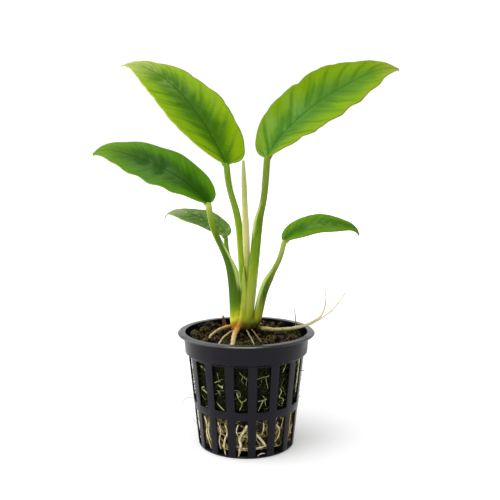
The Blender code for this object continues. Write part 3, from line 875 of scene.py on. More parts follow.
# %% Stalk skin
def crown_tone(node, place):
    """Colours at the foot of the plant by height: orange by the roots, then yellow, with painted
    shade low on the right.
    """
    spot = node("SeparateXYZ", [place])
    patches = node("TexNoise", (place, PER_MM / 2.6, 3.0))
    slant = node("MapRange", (spot.outputs["X"], -7.0 * MM, -2.0 * MM, 1.6 * MM, -1.6 * MM))
    level = node("Math", (spot.outputs["Z"], slant), operation="ADD")
    share = node("MapRange", (level, CROWN_LOW * MM, CROWN_HIGH * MM, -0.12, 0.88))
    share = node("Math", (patches, 0.24, share), **TIMES_PLUS)
    left = node("ValToRGB", [share], stops=[
        (0.0, "#6a3c12"), (0.12, "#c47a34"), (0.22, "#d89838"), (0.3, "#d4b830"),
        (0.48, "#ecec3c"), (0.66, "#a4bc18"), (1.0, "#5c8804")])
    # On the right the low stops are painted shade: dark olive under the crown.
    right = node("ValToRGB", [share], stops=[
        (0.0, "#2a240a"), (0.12, "#58500f"), (0.26, "#8c961c"), (0.42, "#a2ae24"),
        (0.7, "#a8b234"), (1.0, "#a8bc40")])
    turn = node("MapRange", (spot.outputs["X"], -3.8 * MM, -1.0 * MM), **SOFT)
    return node("Mix", (turn, left, right), **COLOUR)


def stalk_skin(name, looks):
    """Smooth stalk skin: colours change up the stalk, and fine fibres run along it."""
    surface, node, shader = new_material(name, IOR=1.45, Specular_IOR_Level=0.14)
    place = node("TexCoord").outputs["Object"]
    height = node("SeparateXYZ", [place]).outputs["Z"]
    around = node("Attribute", attribute_name="around").outputs["Fac"]
    drawn = node("Mapping", {"Vector": place, "Scale": (1.0, 1.0, 0.06)})
    fibres = node("TexNoise", (drawn, PER_MM / 0.5, 3.0))
    patches = node("TexNoise", (place, PER_MM / 5.0, 2.0))
    low, high = looks["face"][0][0], looks["face"][-1][0]
    rise = node("MapRange", (height, low * MM, high * MM, -0.04, 0.96))
    rise = node("Math", (patches, 0.08, rise), **TIMES_PLUS)
    tone = node("ValToRGB", [rise], stops=[
        ((mark - low) / (high - low), code) for mark, code in looks["face"]])
    light = node("MapRange", (fibres, 0.4, 0.75, 0.0, 0.15), **SOFT)
    tone = node("Mix", (light, tone, looks["left"][0]), **COLOUR)
    for flank, way in (("left", -1.0), ("right", 1.0)):
        code, start, end, inside = looks[flank]
        mask = node("MapRange", (around, way * inside, way * (inside + 0.5)), **SOFT)
        above = node("MapRange", (height, (start - 3.0) * MM, (start + 3.0) * MM), **SOFT)
        below = node("MapRange", (height, (end - 3.0) * MM, (end + 3.0) * MM, 1.0, 0.0), **SOFT)
        mask = node("Math", (mask, above), **TIMES)
        mask = node("Math", (mask, below), **TIMES)
        tone = node("Mix", (mask, tone, code), **COLOUR)
    near = node("MapRange", (height, 56.0 * MM, 66.0 * MM, 1.0, 0.0), **SOFT)
    link_up(
        shader, Base_Color=node("Mix", (near, tone, crown_tone(node, place)), **COLOUR),
        Roughness=node("MapRange", (patches, 0.3, 0.7, 0.36, 0.5), **SOFT),
        Normal=node("Bump", {"Height": fibres, "Distance": 0.05 * MM}))
    return surface


# %% Stalk paths
def soft_step(value, middle, softness):
    """Rises smoothly from 0 to 1 round a middle."""
    return 0.5 * (1.0 + math.tanh((value - middle) / softness))


def stalk_path(stalk, base, rows):
    """A stalk's middle, half width and half depth from the rhizome to its blade."""
    foot_x, foot_y = stalk["foot"]
    top_x, top_y, top = base[0], base[1], base[2] - STALK_DROP

    def bent(height):
        return stalk["bend"] * soft_step(height, stalk["bend_height"], stalk["bend_soft"])

    lean = top_x - foot_x - bent(top) + bent(STALK_FOOT)
    path = []
    for row in range(rows + 1):
        share = row / rows
        height = STALK_FOOT + (top - STALK_FOOT) * share
        x = foot_x + lean * share ** stalk["lean_power"] + bent(height) - bent(STALK_FOOT)
        y = foot_y + (top_y - foot_y) * share ** stalk["back_power"]
        bare = soft_step(height, stalk["sheath_end"], stalk["sheath_soft"])
        half_width = stalk["sheath"] + (stalk["radius"] - stalk["sheath"]) * bare
        half_depth = 0.95 * stalk["radius"] + 0.3 * (half_width - stalk["radius"])
        path.append((x, y, height, half_width, half_depth))
    return path


# %% Sheathed stalks
def dressed_stalk(place):
    """A stalk let into the rhizome, wrapped by its sheath, and run on as a midrib."""
    path = []
    bare = stalk_path(STALKS[place], LEAVES[place]["base"], STALK_STEPS)
    for x, y, height, half_width, half_depth in bare:
        wrap = max(0.0, (WRAP_TOP - height) / (WRAP_TOP - SHEATH_FOOT))
        path.append((
            x, y, height, half_width + SKIN_OVER + 0.15 * wrap,
            half_depth + SKIN_OVER + 0.8 * wrap))
    x, y, _, half_width, half_depth = path[0]
    path.insert(0, (x, y, STALK_FOOT - 1.2, 0.95 * half_width, 0.9 * half_depth))
    path.insert(0, (0.7 * x, 0.5 * y, SHEATH_FOOT, 0.5 * half_width, 0.5 * half_depth))
    for share, spot, _, _, out in midrib_frames(LEAVES[place], 40)[2:]:
        if share > MIDRIB_END:
            break
        thin = 1.0 - share / MIDRIB_END
        radius = 0.2 + (STALKS[place]["radius"] - 0.2) * thin ** 2
        path.append((*(spot - out * (0.3 + radius)), radius, radius))
    return path


def grooved(angle, share):
    """A shallow groove down the upper face of a stalk."""
    return 1.0 - 0.1 * math.exp(-((angle + math.pi / 2.0) / 0.35) ** 2) * min(1.0, share * 2.0)


for place, values in STALKS.items():
    finish_piece(
        "stalk_" + place, swept_tube(dressed_stalk(place), 24, Vector((0, 1, 0)), grooved),
        [stalk_skin("stalk_skin_" + place, STALK_LOOKS[place])],
        ["leaf_stalk_" + place])


# %% Rolled leaf
def rolled_leaf_path(rows):
    """The rolled leaf's middle, half width and half depth, up to its point."""
    tip_x, tip_y, top = ROLLED_TIP
    path = []
    for row in range(rows + 1):
        share = row / rows
        height = STALK_FOOT + (top - STALK_FOOT) * share
        x = ROLLED_FOOT[0] + (tip_x - ROLLED_FOOT[0]) * share ** ROLLED_LEAN_POWER
        y = ROLLED_FOOT[1] + (tip_y - ROLLED_FOOT[1]) * share
        away = (height - ROLLED_SWELL_HEIGHT) / ROLLED_SWELL_LENGTH
        radius = ROLLED_RADIUS + ROLLED_SWELL * math.exp(-(away ** 2))
        radius *= min(1.0, (top - height) / ROLLED_POINT_LENGTH + 0.05) ** 0.4
        path.append((x, y, height, radius, 0.88 * radius))
    return path


def rolled(angle, share):
    """The step of the leaf's outer edge, winding once round the roll."""
    turn = (angle + math.tau * (0.3 + 0.5 * share)) % math.tau
    return 0.9 + 0.16 * turn / math.tau


rolled_path = [(*row[:3], row[3] + SKIN_OVER, row[4] + SKIN_OVER) for row in rolled_leaf_path(56)]
rolled_path = [(*rolled_path[0][:2], SHEATH_FOOT, *rolled_path[0][3:]), *rolled_path]
finish_piece(
    "rolled_young_leaf", swept_tube(rolled_path, 32, Vector((0, 1, 0)), rolled),
    [stalk_skin("rolled_leaf_skin", STALK_LOOKS["rolled"])],
    ["rolled_leaf"], sharp_angle=50.0)

# %% [markdown]
# ## Rhizome
#
# The rhizome is the plant's short creeping stem. It carries the sheaths of all the
# leaves, which melt into it without a seam, and it is orange where the roots start.
# A spun profile is squeezed to an oval and pushed about by a little noise. It runs up
# between the stalks as a web of sheath, so that no gap is left where they meet.

# %% Rhizome
CROWN_TOP = 78.0                # where the web of sheaths runs out between the stalks
WEB_FROM = 55.0                 # from here up it is squeezed flat between them
RHIZOME_CENTRE = (-1.0, 0.2)
rhizome_low, rhizome_high = size_of("rhizome")
print("rhizome from", rhizome_low, "to", rhizome_high)


def spun_shape(profile, steps):
    """A closed solid of revolution from a profile that starts and ends on the axis."""
    shape = bmesh.new()
    points = [shape.verts.new((radius, 0.0, height)) for radius, height in profile]
    line = [shape.edges.new(pair) for pair in zip(points[:-1], points[1:])]
    bmesh.ops.spin(
        shape, geom=points + line, cent=(0.0, 0.0, 0.0), axis=(0.0, 0.0, 1.0),
        angle=math.tau, steps=steps, use_merge=True)
    bmesh.ops.remove_doubles(shape, verts=shape.verts, dist=0.001)
    bmesh.ops.recalc_face_normals(shape, faces=shape.faces)
    return shape


def rhizome_shape():
    """The lumpy oval stub that carries stalks and roots, drawn up between the stalks."""
    rise = CROWN_TOP - rhizome_low.z
    waist = smooth_path([
        (0.50, 0.0), (0.86, 0.035), (0.98, 0.08), (1.0, 0.14), (0.96, 0.22), (0.9, 0.33),
        (0.84, 0.46), (0.7, 0.62), (0.5, 0.78), (0.3, 0.9), (0.12, 1.0)], 4)
    profile = [(0.0, 0.0), *[(radius, rise * share) for radius, share in waist], (0.0, rise)]
    shape = spun_shape(profile, 56)
    width = (rhizome_high.x - rhizome_low.x) / 2.0 + 0.1
    depth = (rhizome_high.y - rhizome_low.y) / 2.0 + 0.2
    bmesh.ops.scale(shape, vec=(width, depth, 1.0), verts=shape.verts)
    bmesh.ops.translate(shape, vec=(*RHIZOME_CENTRE, rhizome_low.z), verts=shape.verts)
    middle_x, middle_y = RHIZOME_CENTRE
    for vert in shape.verts:
        above = max(0.0, vert.co.z - WEB_FROM) / (CROWN_TOP - WEB_FROM)
        vert.co.x = middle_x + (vert.co.x - middle_x) * (1.0 - 0.75 * above ** 0.6)
        vert.co.y += 1.6 * above
        outward = Vector((vert.co.x - middle_x, vert.co.y - middle_y, 0.0))
        lump = 0.3 * noise.noise(vert.co * 0.45) + 0.12 * noise.noise(vert.co * 1.3)
        vert.co += outward.normalized() * lump
    return shape


rhizome_skin, node, shader = new_material("rhizome_skin", IOR=1.45, Specular_IOR_Level=0.3)
place = node("TexCoord").outputs["Object"]
patches = node("TexNoise", (place, PER_MM / 2.6, 3.0))
rough = node("TexNoise", (place, PER_MM / 0.6, 3.0))
link_up(
    shader, Base_Color=crown_tone(node, place),
    Roughness=node("MapRange", (patches, 0.3, 0.7, 0.4, 0.6), **SOFT),
    Normal=node("Bump", {"Height": rough, "Distance": 0.1 * MM}))
finish_piece("creeping_stem", rhizome_shape(), [rhizome_skin], ["rhizome"])

# %% [markdown]
# ## Roots above the soil
#
# Anubias roots leave the rhizome thick and smooth, orange near it and cream further
# out, and dive into the soil. Each one is a tube with slight bends and an uneven
# width. The long one on the right arches over the rim and forks in the air.

# %% Root numbers
SOIL_LEVEL = 47.7
ROOT_INSET = 1.5                # back into the rhizome
ROOT_DIVE = 2.0                 # of the tips into the soil
ROOT_NOISE_STEP = 7.3           # from root to root, so that each one bends in its own way

# Each root: its start; its heading and climb there; how far it turns and rises on its
# way, and kinks halfway; its length; and its radius at both ends.
ROOTS = {
    "root_front": {
        "start": (-3.8, -4.3, 51.6), "heading": -98, "turn": 5, "climb": -2, "rise": -13,
        "kink": 0, "length": 18.5, "radii": (1.15, 0.9),
    },
    "root_left": {
        "start": (-6.9, -0.8, 52.0), "heading": -158, "turn": 22, "climb": -2, "rise": -34,
        "kink": 0, "length": 11.0, "radii": (0.8, 0.55),
    },
    "root_front_left": {
        "start": (-5.3, -2.9, 50.6), "heading": -122, "turn": 22, "climb": -4, "rise": -7,
        "kink": 0, "length": 17.5, "radii": (0.5, 0.35),
    },
    "root_front_right_inner": {
        "start": (0.2, -4.3, 50.9), "heading": -76, "turn": -2, "climb": -8, "rise": -6,
        "kink": 0, "length": 13.5, "radii": (0.35, 0.25),
    },
    "root_front_right_outer": {
        "start": (2.4, -3.5, 51.1), "heading": -68, "turn": -1, "climb": -12, "rise": -8,
        "kink": 0, "length": 11.5, "radii": (0.35, 0.25),
    },
    "root_long": {
        "start": (5.2, 0.5, 51.2), "heading": -32, "turn": 44, "climb": -8, "rise": 22,
        "kink": 0, "length": 18.4, "radii": (1.0, 0.8),
    },
    "root_long_inner_branch": {
        "start": (23.3, -2.5, 52.3), "heading": 5, "turn": -5, "climb": 14, "rise": 42,
        "kink": 40, "length": 23.0, "radii": (0.5, 0.16),
    },
    "root_long_outer_branch": {
        "start": (23.4, -4.0, 52.3), "heading": -4, "turn": -14, "climb": 15, "rise": 50,
        "kink": 0, "length": 25.5, "radii": (0.42, 0.16),
    },
}

# Colours at the start, in the middle and at the tip.
ROOT_LOOKS = {
    "root_front": ("#c87c34", "#d4b074", "#d0bc8c"),
    "root_left": ("#c89048", "#c4b070", "#c8b880"),
    "root_front_left": ("#a8884c", "#c0b080", "#ccc09c"),
    "root_front_right_inner": ("#988868", "#a09878", "#aca888"),
    "root_front_right_outer": ("#8c6444", "#907058", "#8c7460"),
    "root_long": ("#bcb060", "#bcb470", "#ccc494"),
    "root_long_inner_branch": ("#ccc494", "#dcd0a0", "#dcc884"),
    "root_long_outer_branch": ("#ccc494", "#dcd0a0", "#dcc884"),
}
print(len(ROOTS), "roots")


# %% Root skin
def root_skin(name, colours):
    """Wet root skin: smooth, with darker scuffs."""
    surface, node, shader = new_material(name, IOR=1.42, Specular_IOR_Level=0.3)
    place = node("TexCoord").outputs["Object"]
    along = node("Attribute", attribute_name="along").outputs["Fac"]
    patches = node("TexNoise", (place, PER_MM / 1.4, 3.0))
    tone = node("ValToRGB", [along], stops=list(zip((0.0, 0.45, 0.95), colours)))
    scuffs = node("MapRange", (patches, 0.5, 0.75, 0.0, 0.6), **SOFT)
    link_up(
        shader, Base_Color=node("Mix", (scuffs, tone, "#7a5a2c"), **COLOUR),
        Roughness=node("MapRange", (patches, 0.3, 0.7, 0.35, 0.55), **SOFT),
        Normal=node("Bump", {"Height": patches, "Distance": 0.12 * MM}))
    return surface


# %% Root shapes
noise.seed_set(2)               # without a seed, noise_vector starts from the clock


def root_path(root, rows):
    """A root's middle and radius: it is steered from its start along its length."""
    path = []
    place = Vector(root["start"])
    before = 0.0
    thick, thin = root["radii"]
    for row in range(rows + 1):
        share = row / rows
        middle = (before + share) / 2.0
        heading = math.radians(root["heading"] + root["turn"] * middle)
        kink = root["kink"] * soft_step(middle, 0.45, 0.1)
        climb = math.radians(root["climb"] + root["rise"] * middle + kink)
        forward = Vector((
            math.cos(climb) * math.cos(heading),
            math.cos(climb) * math.sin(heading),
            math.sin(climb)))
        place = place + forward * root["length"] * (share - before)
        radius = thick + (thin - thick) * share
        path.append((*place, radius, radius))
        before = share
    return path


def uneven_root(root, seed):
    """A root's path, run back into what it grows from, with bends and uneven width."""
    path = root_path(root, 40)
    start, onward = Vector(path[0][:3]), Vector(path[1][:3])
    back = start - (onward - start).normalized() * ROOT_INSET
    path.insert(0, (*back, *path[0][3:]))
    if path[-1][2] < SOIL_LEVEL + 2.0:
        before, tip = Vector(path[-2][:3]), Vector(path[-1][:3])
        ahead = (tip - before).normalized() + Vector((0.0, 0.0, -0.7))
        path += [(*(tip + ahead * ROOT_DIVE * step), *path[-1][3:]) for step in (0.4, 0.8)]
    uneven = []
    for index, (*place, radius, _) in enumerate(path):
        here = Vector(place) * 0.35 + Vector((seed, 0.0, 0.0))
        ease = min(1.0, index / 8)
        shift = noise.noise_vector(here) * 0.35 * ease * min(1.0, radius * 2.0)
        swell = radius * (1.0 + 0.16 * noise.noise(here * 2.6))
        uneven.append((*(Vector(place) + shift), swell, swell))
    return uneven


for order, (name, values) in enumerate(ROOTS.items()):
    finish_piece(
        "wet_" + name,
        swept_tube(uneven_root(values, ROOT_NOISE_STEP * order), 14, Vector((0, 0, 1))),
        [root_skin("root_skin_" + name, ROOT_LOOKS[name])], [name])

# %% [markdown]
# ## Soil
#
# The pot is packed with dark wet soil that moss has grown over. The plug is a spun
# solid, fine enough for noise to break its top and sides into lumps. Crumbs of soil
# lie on top: a few rough balls, copied many times at random sizes into one mesh.

# %% Soil plug
SOIL_MOUND = 0.9                # millimetres, how much higher it lies under the rhizome
SOIL_REACH = 24.4               # its top reaches this far from the pot's middle
ROOT_MASS_TOP = 16.5
WALL_GAP = 0.3


def spun_points(corners, step_mm):
    """A profile's corners with points between them, about step_mm apart."""
    points = []
    for (r0, z0), (r1, z1) in zip(corners[:-1], corners[1:]):
        count = max(1, round(math.hypot(r1 - r0, z1 - z0) / step_mm))
        points += [(r0 + (r1 - r0) * i / count, z0 + (z1 - z0) * i / count) for i in range(count)]
    return points + [corners[-1]]


def soil_height(x, y):
    """Height of the lumpy soil at a place on it."""
    reach = math.hypot(x, y)
    mound = math.exp(-((reach / 8.0) ** 2))
    here = Vector((x, y, 0.0))
    lumps = 1.6 * noise.noise(here * 0.28) + 1.2 * noise.noise(here * 0.6 + Vector((9, 0, 0)))
    lumps += 0.35 * noise.noise(here * 2.1)
    return SOIL_LEVEL - 0.3 + SOIL_MOUND * mound + lumps * (1.0 - 0.6 * mound)


def soil_shape():
    """The plug of soil, lumpy on top and round its side."""
    inset = POT_WALL + WALL_GAP
    foot = ROOT_MASS_TOP + WALL_GAP
    corners = [
        (0.0, SOIL_LEVEL), (24.6, SOIL_LEVEL),
        (COLLAR_RADIUS - inset - 0.4, COLLAR_BOTTOM + 1.6),
        (WALL_TOP_RADIUS - inset - 0.1, STEP_BOTTOM), (wall_radius(foot) - inset, foot),
        (0.0, foot),
    ]
    shape = spun_shape(spun_points(corners, 0.9), 150)
    for vert in shape.verts:
        reach = math.hypot(vert.co.x, vert.co.y)
        if vert.co.z > SOIL_LEVEL - 0.1:
            inside = reach < SOIL_REACH
            vert.co.z = soil_height(vert.co.x, vert.co.y) if inside else SOIL_LEVEL - 1.0
        elif reach > 15.0:
            dent = 0.7 + 0.9 * noise.noise(vert.co * 0.45) + 0.6 * noise.noise(vert.co * 1.1)
            shrink = 1.0 - max(0.0, dent) / reach
            vert.co.x *= shrink
            vert.co.y *= shrink
    return shape


# %% Wet soil
def wet_soil():
    """Wet peaty soil: near black, brown in the lumps, with a film of green moss."""
    surface, node, shader = new_material("wet_mossy_soil", IOR=1.35, Specular_IOR_Level=0.2)
    place = node("TexCoord").outputs["Object"]
    height = node("SeparateXYZ", [place]).outputs["Z"]
    coarse = node("TexNoise", (place, PER_MM / 3.4, 4.0))
    clods = node("TexNoise", (place, PER_MM / 2.4, 2.0))
    fine = node("TexNoise", (place, PER_MM / 0.8, 4.0))
    mixed = node("Math", (clods, fine), operation="ADD")
    lumps = node("MapRange", (mixed, 0.97, 1.16), **SOFT)
    tone = node("Mix", (lumps, "#030201", "#5e4625"), **COLOUR)
    film = node("MapRange", (coarse, 0.5, 0.62), **SOFT)
    film = node("Math", (film, node("MapRange", (fine, 0.35, 0.6, 0.2, 0.9))), **TIMES)
    tone = node("Mix", (film, tone, "#40480e"), **COLOUR)
    # Behind the slots the plug is painted near black: painted shade, as it lies in the dark inside
    # the pot.
    inside = node("MapRange", (height, 42.0 * MM, 45.0 * MM, 0.85, 0.0), **SOFT)
    link_up(
        shader, Base_Color=node("Mix", (inside, tone, "#060802"), **COLOUR),
        Roughness=node("MapRange", (fine, 0.4, 0.7, 0.85, 0.5), **SOFT),
        Normal=node("Bump", {"Height": fine, "Distance": 0.7 * MM}))
    return surface


soil_surface = wet_soil()
finish_piece("mossy_soil", soil_shape(), [soil_surface], ["soil"])

# %% Crumbs on the soil
draw = random.Random(41)
CRUMB_COUNT = 280
CRUMB_REACH = 24.2
CRUMB_SHAPES = 5


def rough_ball(seed):
    """One lump of soil: a small icosphere pushed about by noise."""
    shape = bmesh.new()
    bmesh.ops.create_icosphere(shape, subdivisions=2, radius=1.0)
    for vert in shape.verts:
        vert.co *= 1.0 + 0.45 * noise.noise(vert.co * 1.4 + Vector((seed, 0.0, 0.0)))
    mesh = bpy.data.meshes.new("crumb")
    shape.to_mesh(mesh)
    shape.free()
    return mesh


def scattered(name, templates, matrices):
    """Copies small meshes to many places as one mesh."""
    shape = bmesh.new()
    for index, matrix in enumerate(matrices):
        first = len(shape.verts)
        shape.from_mesh(templates[index % len(templates)])
        shape.verts.ensure_lookup_table()
        bmesh.ops.transform(shape, matrix=matrix, verts=shape.verts[first:])
    mesh = bpy.data.meshes.new(name)
    shape.to_mesh(mesh)
    shape.free()
    return mesh


def crumb_places():
    """Random places, turns and sizes for crumbs on the soil, small beside a root."""
    places = []
    tracks = [
        Vector(point[:2]) for order, root in enumerate(ROOTS.values())
        for point in uneven_root(root, ROOT_NOISE_STEP * order)]
    for _ in range(CRUMB_COUNT):
        angle = draw.uniform(0.0, math.tau)
        reach = CRUMB_REACH * math.sqrt(draw.random())
        size = 0.5 + 2.1 * draw.random() ** 1.7
        x, y = reach * math.cos(angle), reach * math.sin(angle)
        clear = min((Vector((x, y)) - point).length for point in tracks)
        size = min(size, max(0.5, clear - 0.3))
        spot = Vector((x, y, soil_height(x, y) + 0.25 * size))
        turn = Matrix.Rotation(draw.uniform(0.0, math.tau), 4, Vector((1, draw.random(), 0.5)))
        squash = Matrix.Diagonal((size, size * draw.uniform(0.7, 1.3), size * 0.8, 1.0))
        places.append(Matrix.Translation(spot) @ turn @ squash)
    return places


rough_balls = [rough_ball(3.1 * index) for index in range(CRUMB_SHAPES)]
crumbs = scattered("soil_crumbs", rough_balls, crumb_places())
finish_piece("soil_crumbs", crumbs, [soil_surface])

# %% [markdown]
# ## Moss and fine roots in the slots
#
# Moss fills the upper slots and speckles the soil. It is a mass of short green
# threads, each a thin curve of a few points. Fine pale roots press against the wall
# behind the slots and change direction wherever they meet it, so they look like
# zigzag scribbles.

# %% Fibre surface
def plain_fibre(name, dark, light, roughness=0.6):
    """A thread's surface, with its tone drifting between two colours."""
    surface, node, shader = new_material(
        name, IOR=1.4, Specular_IOR_Level=0.15, Roughness=roughness)
    place = node("TexCoord").outputs["Object"]
    drift = node("TexNoise", (place, PER_MM / 2.0, 3.0))
    drift = node("MapRange", (drift, 0.35, 0.65), **SOFT)
    fuzz = node("TexNoise", (place, PER_MM / 0.4, 2.0))
    link_up(
        shader, Base_Color=node("Mix", (drift, dark, light), **COLOUR),
        Normal=node("Bump", {"Height": fuzz, "Distance": 0.05 * MM}))
    return surface


# %% Moss
SLOT_MOSS_COUNT = 190           # threads in each upper slot
SOIL_MOSS_COUNT = 900           # and on the soil


def round_pot(angle, reach, height):
    """A point at an angle round the pot, a reach from its axis and a height."""
    return Vector((reach * math.cos(angle), reach * math.sin(angle), height))


def slot_middle(index):
    """Angle of a slot's middle round the pot."""
    return math.radians(-90.0 + FIRST_RIB + SECTOR * (index + 0.5))


def thread(start, direction, length, radius, points, wander):
    """A short thread that wanders from a start along a direction and tapers."""
    path = []
    here = start.copy()
    heading = direction.normalized()
    for step in range(points):
        share = step / (points - 1)
        path.append((*here, radius * (1.0 - 0.7 * share)))
        heading = (heading + Vector([draw.uniform(-wander, wander) for _ in range(3)])).normalized()
        here = here + heading * length / (points - 1)
    return path


moss_paths = []
for index in range(RIB_COUNT):
    for _ in range(SLOT_MOSS_COUNT):
        angle = slot_middle(index) + math.radians(draw.uniform(-7.5, 7.5))
        height = draw.uniform(UPPER_SLOT_BOTTOM - 0.5, UPPER_SLOT_TOP + 0.5)
        reach = wall_radius(height) - POT_WALL - draw.uniform(0.3, 1.6)
        outward = round_pot(angle, 1.0, draw.uniform(-0.8, 0.8))
        sideways = round_pot(angle + math.pi / 2.0, draw.uniform(-1.2, 1.2), 0.0)
        moss_paths.append(thread(
            round_pot(angle, reach, height), outward * 0.35 + sideways,
            draw.uniform(1.0, 2.6), draw.uniform(0.06, 0.13), 4, 0.5))
for _ in range(SOIL_MOSS_COUNT):
    angle = draw.uniform(0.0, math.tau)
    reach = SOIL_REACH * math.sqrt(draw.random())
    x, y = reach * math.cos(angle), reach * math.sin(angle)
    start = Vector((x, y, soil_height(x, y) - 0.1))
    moss_paths.append(thread(
        start, Vector((draw.uniform(-1, 1), draw.uniform(-1, 1), draw.uniform(0.2, 1.0))),
        draw.uniform(0.7, 2.2), draw.uniform(0.06, 0.14), 4, 0.5))
strands("moss_threads", moss_paths, plain_fibre("damp_moss", "#0a1002", "#3e5012"), 0)

# %% Places of the roots that show in the front slots
SLOT_HALF_ANGLE = math.radians((SECTOR - RIB_ANGLE) / 2.0)

# The roots that press against the front slots: the slot, counted from the front
# towards the right, the root's radius, then places as the share of the slot's half
# width from its middle and the height.
PRESSED_ROOTS = [
    (-1, 0.20, [(-0.7, 29.0), (-0.4, 26.5), (0.0, 25.0), (0.1, 24.0), (-0.3, 21.5)]),
    (-1, 0.14, [(0.8, 26.5), (0.4, 25.5), (0.0, 25.0)]),
    (-1, 0.12, [(-0.2, 38.0), (0.2, 36.5), (0.8, 35.0)]),
    (0, 0.16, [(-1.0, 35.0), (-0.3, 35.6), (0.3, 35.8), (0.9, 36.2)]),
    (0, 0.12, [(0.3, 35.8), (0.5, 33.0), (0.75, 30.5)]),
    (0, 0.17, [(0.6, 26.0), (0.1, 25.6), (-0.3, 23.5), (-0.7, 21.0)]),
    (0, 0.12, [(-0.8, 25.4), (-0.3, 25.5), (0.1, 25.6)]),
    (1, 0.16, [(0.4, 40.5), (0.1, 38.0), (-0.2, 36.5)]),
    (1, 0.22, [(-0.4, 29.5), (-0.1, 28.0), (-0.5, 26.0), (0.1, 25.2), (0.5, 24.0), (0.2, 22.5)]),
    (-2, 0.18, [(-0.9, 32.5), (-0.4, 33.2), (0.1, 34.2)]),
    (-2, 0.34, [(-0.3, 32.0), (0.0, 31.2), (0.4, 31.4), (0.3, 30.4)]),
    (-2, 0.24, [(-0.8, 24.0), (-0.3, 22.6), (0.5, 20.8)]),
    (-3, 0.24, [(0.1, 29.5), (-0.6, 28.4), (0.2, 27.4), (0.9, 26.6), (0.8, 24.0)]),
    (-3, 0.40, [(-0.1, 38.4), (0.1, 37.6)]),
    (-4, 0.22, [(0.2, 37.0), (-0.3, 34.0), (0.2, 30.0)]),
]
PRESSED_CREAM = [
    (-1, 0.55, [(0.9, 14.8), (0.4, 12.4), (-0.4, 8.8), (-0.2, 6.0), (-0.4, 3.6), (-0.6, 0.9)]),
    (-1, 0.28, [(-0.6, 15.0), (-0.9, 12.0), (-0.5, 9.5)]),
    (-1, 0.28, [(-0.3, 4.6), (0.3, 4.4), (1.0, 4.6)]),
    (0, 0.28, [(0.3, 15.6), (0.3, 12.6), (0.0, 10.4)]),
    (0, 0.50, [(-0.9, 10.6), (-0.2, 8.6), (0.5, 6.4), (0.9, 5.0)]),
    (0, 0.32, [(-1.0, 4.4), (0.0, 4.8), (0.9, 5.0)]),
    (0, 0.26, [(-0.6, 0.9), (0.1, 1.8), (0.8, 1.6)]),
    (1, 0.26, [(-0.6, 14.0), (0.2, 10.6), (-0.1, 7.6), (-0.8, 6.2)]),
    (1, 0.22, [(0.8, 16.0), (0.6, 12.0)]),
    (2, 0.30, [(0.9, 40.0), (0.85, 32.0), (0.75, 25.0)]),
    (2, 0.30, [(-0.3, 17.0), (-0.4, 14.0), (-0.4, 10.6)]),
    (2, 0.20, [(-0.8, 7.0), (0.0, 9.0), (0.8, 10.4)]),
    (2, 0.20, [(-0.4, 10.4), (0.2, 8.4), (0.8, 6.4)]),
    (-2, 0.36, [(0.5, 14.6), (0.9, 11.4), (0.4, 8.2), (0.1, 5.0), (0.3, 0.8)]),
    (-2, 0.24, [(-0.8, 15.0), (-0.4, 11.0), (-0.8, 7.0), (-0.6, 3.0)]),
    (-3, 0.30, [(-0.6, 15.8), (-0.2, 11.6), (-0.5, 8.0), (0.1, 4.6), (0.4, 1.8)]),
    (-3, 0.26, [(0.5, 14.0), (0.1, 9.0), (0.6, 5.6)]),
    (-4, 0.5, [(-0.2, 17.4), (0.1, 11.6), (0.3, 5.4)]),
]


print(len(PRESSED_ROOTS) + len(PRESSED_CREAM), "roots against the front slots")


# %% Fine roots behind the slots
def pressed(rows):
    """Smooth paths of the roots that lie against the wall in a slot."""
    paths = []
    for slot, radius, places in rows:
        path = []
        for across, height in places:
            reach = max(wall_radius(height), FLOOR_RADIUS + 0.5) - POT_WALL - 0.6 * radius
            angle = slot_middle(slot) + across * SLOT_HALF_ANGLE
            path.append((*round_pot(angle, reach, height), radius))
        path[-1] = (*path[-1][:3], 0.6 * radius)
        paths.append(smooth_path(path, 4))
    return paths


zigzags = pressed(PRESSED_ROOTS)
for index in range(RIB_COUNT):
    for _ in range(4):
        angle = slot_middle(index) + math.radians(draw.uniform(-7.0, 7.0))
        height = draw.uniform(UPPER_SLOT_BOTTOM + 1.0, UPPER_SLOT_TOP - 1.0)
        radius = draw.uniform(0.07, 0.13)
        tilt = draw.uniform(0.0, math.tau)
        path = []
        for _ in range(draw.randint(3, 5)):
            reach = wall_radius(height) - POT_WALL - draw.uniform(0.3, 0.9)
            path.append((*round_pot(angle, reach, height), radius))
            span = draw.uniform(0.9, 2.0)
            tilt += draw.uniform(-1.1, 1.1)
            angle += span * math.cos(tilt) / reach
            height = min(max(height + span * math.sin(tilt), UPPER_SLOT_BOTTOM), UPPER_SLOT_TOP)
        zigzags.append(smooth_path(path, 3))
strands("fine_slot_roots", zigzags, plain_fibre("fine_root", "#8c9454", "#c4c890"), 1)

# %% [markdown]
# ## Root tangle in the foot of the pot
#
# Below the soil the roots have circled the pot and packed its foot with a mat. A
# lumpy tan core fills the middle, and some three hundred tubes of two tones are wound
# against the wall round it, mostly downwards, with gaps that stay dark. The core
# narrows towards the floor, so the foot of the mat stays dark too.

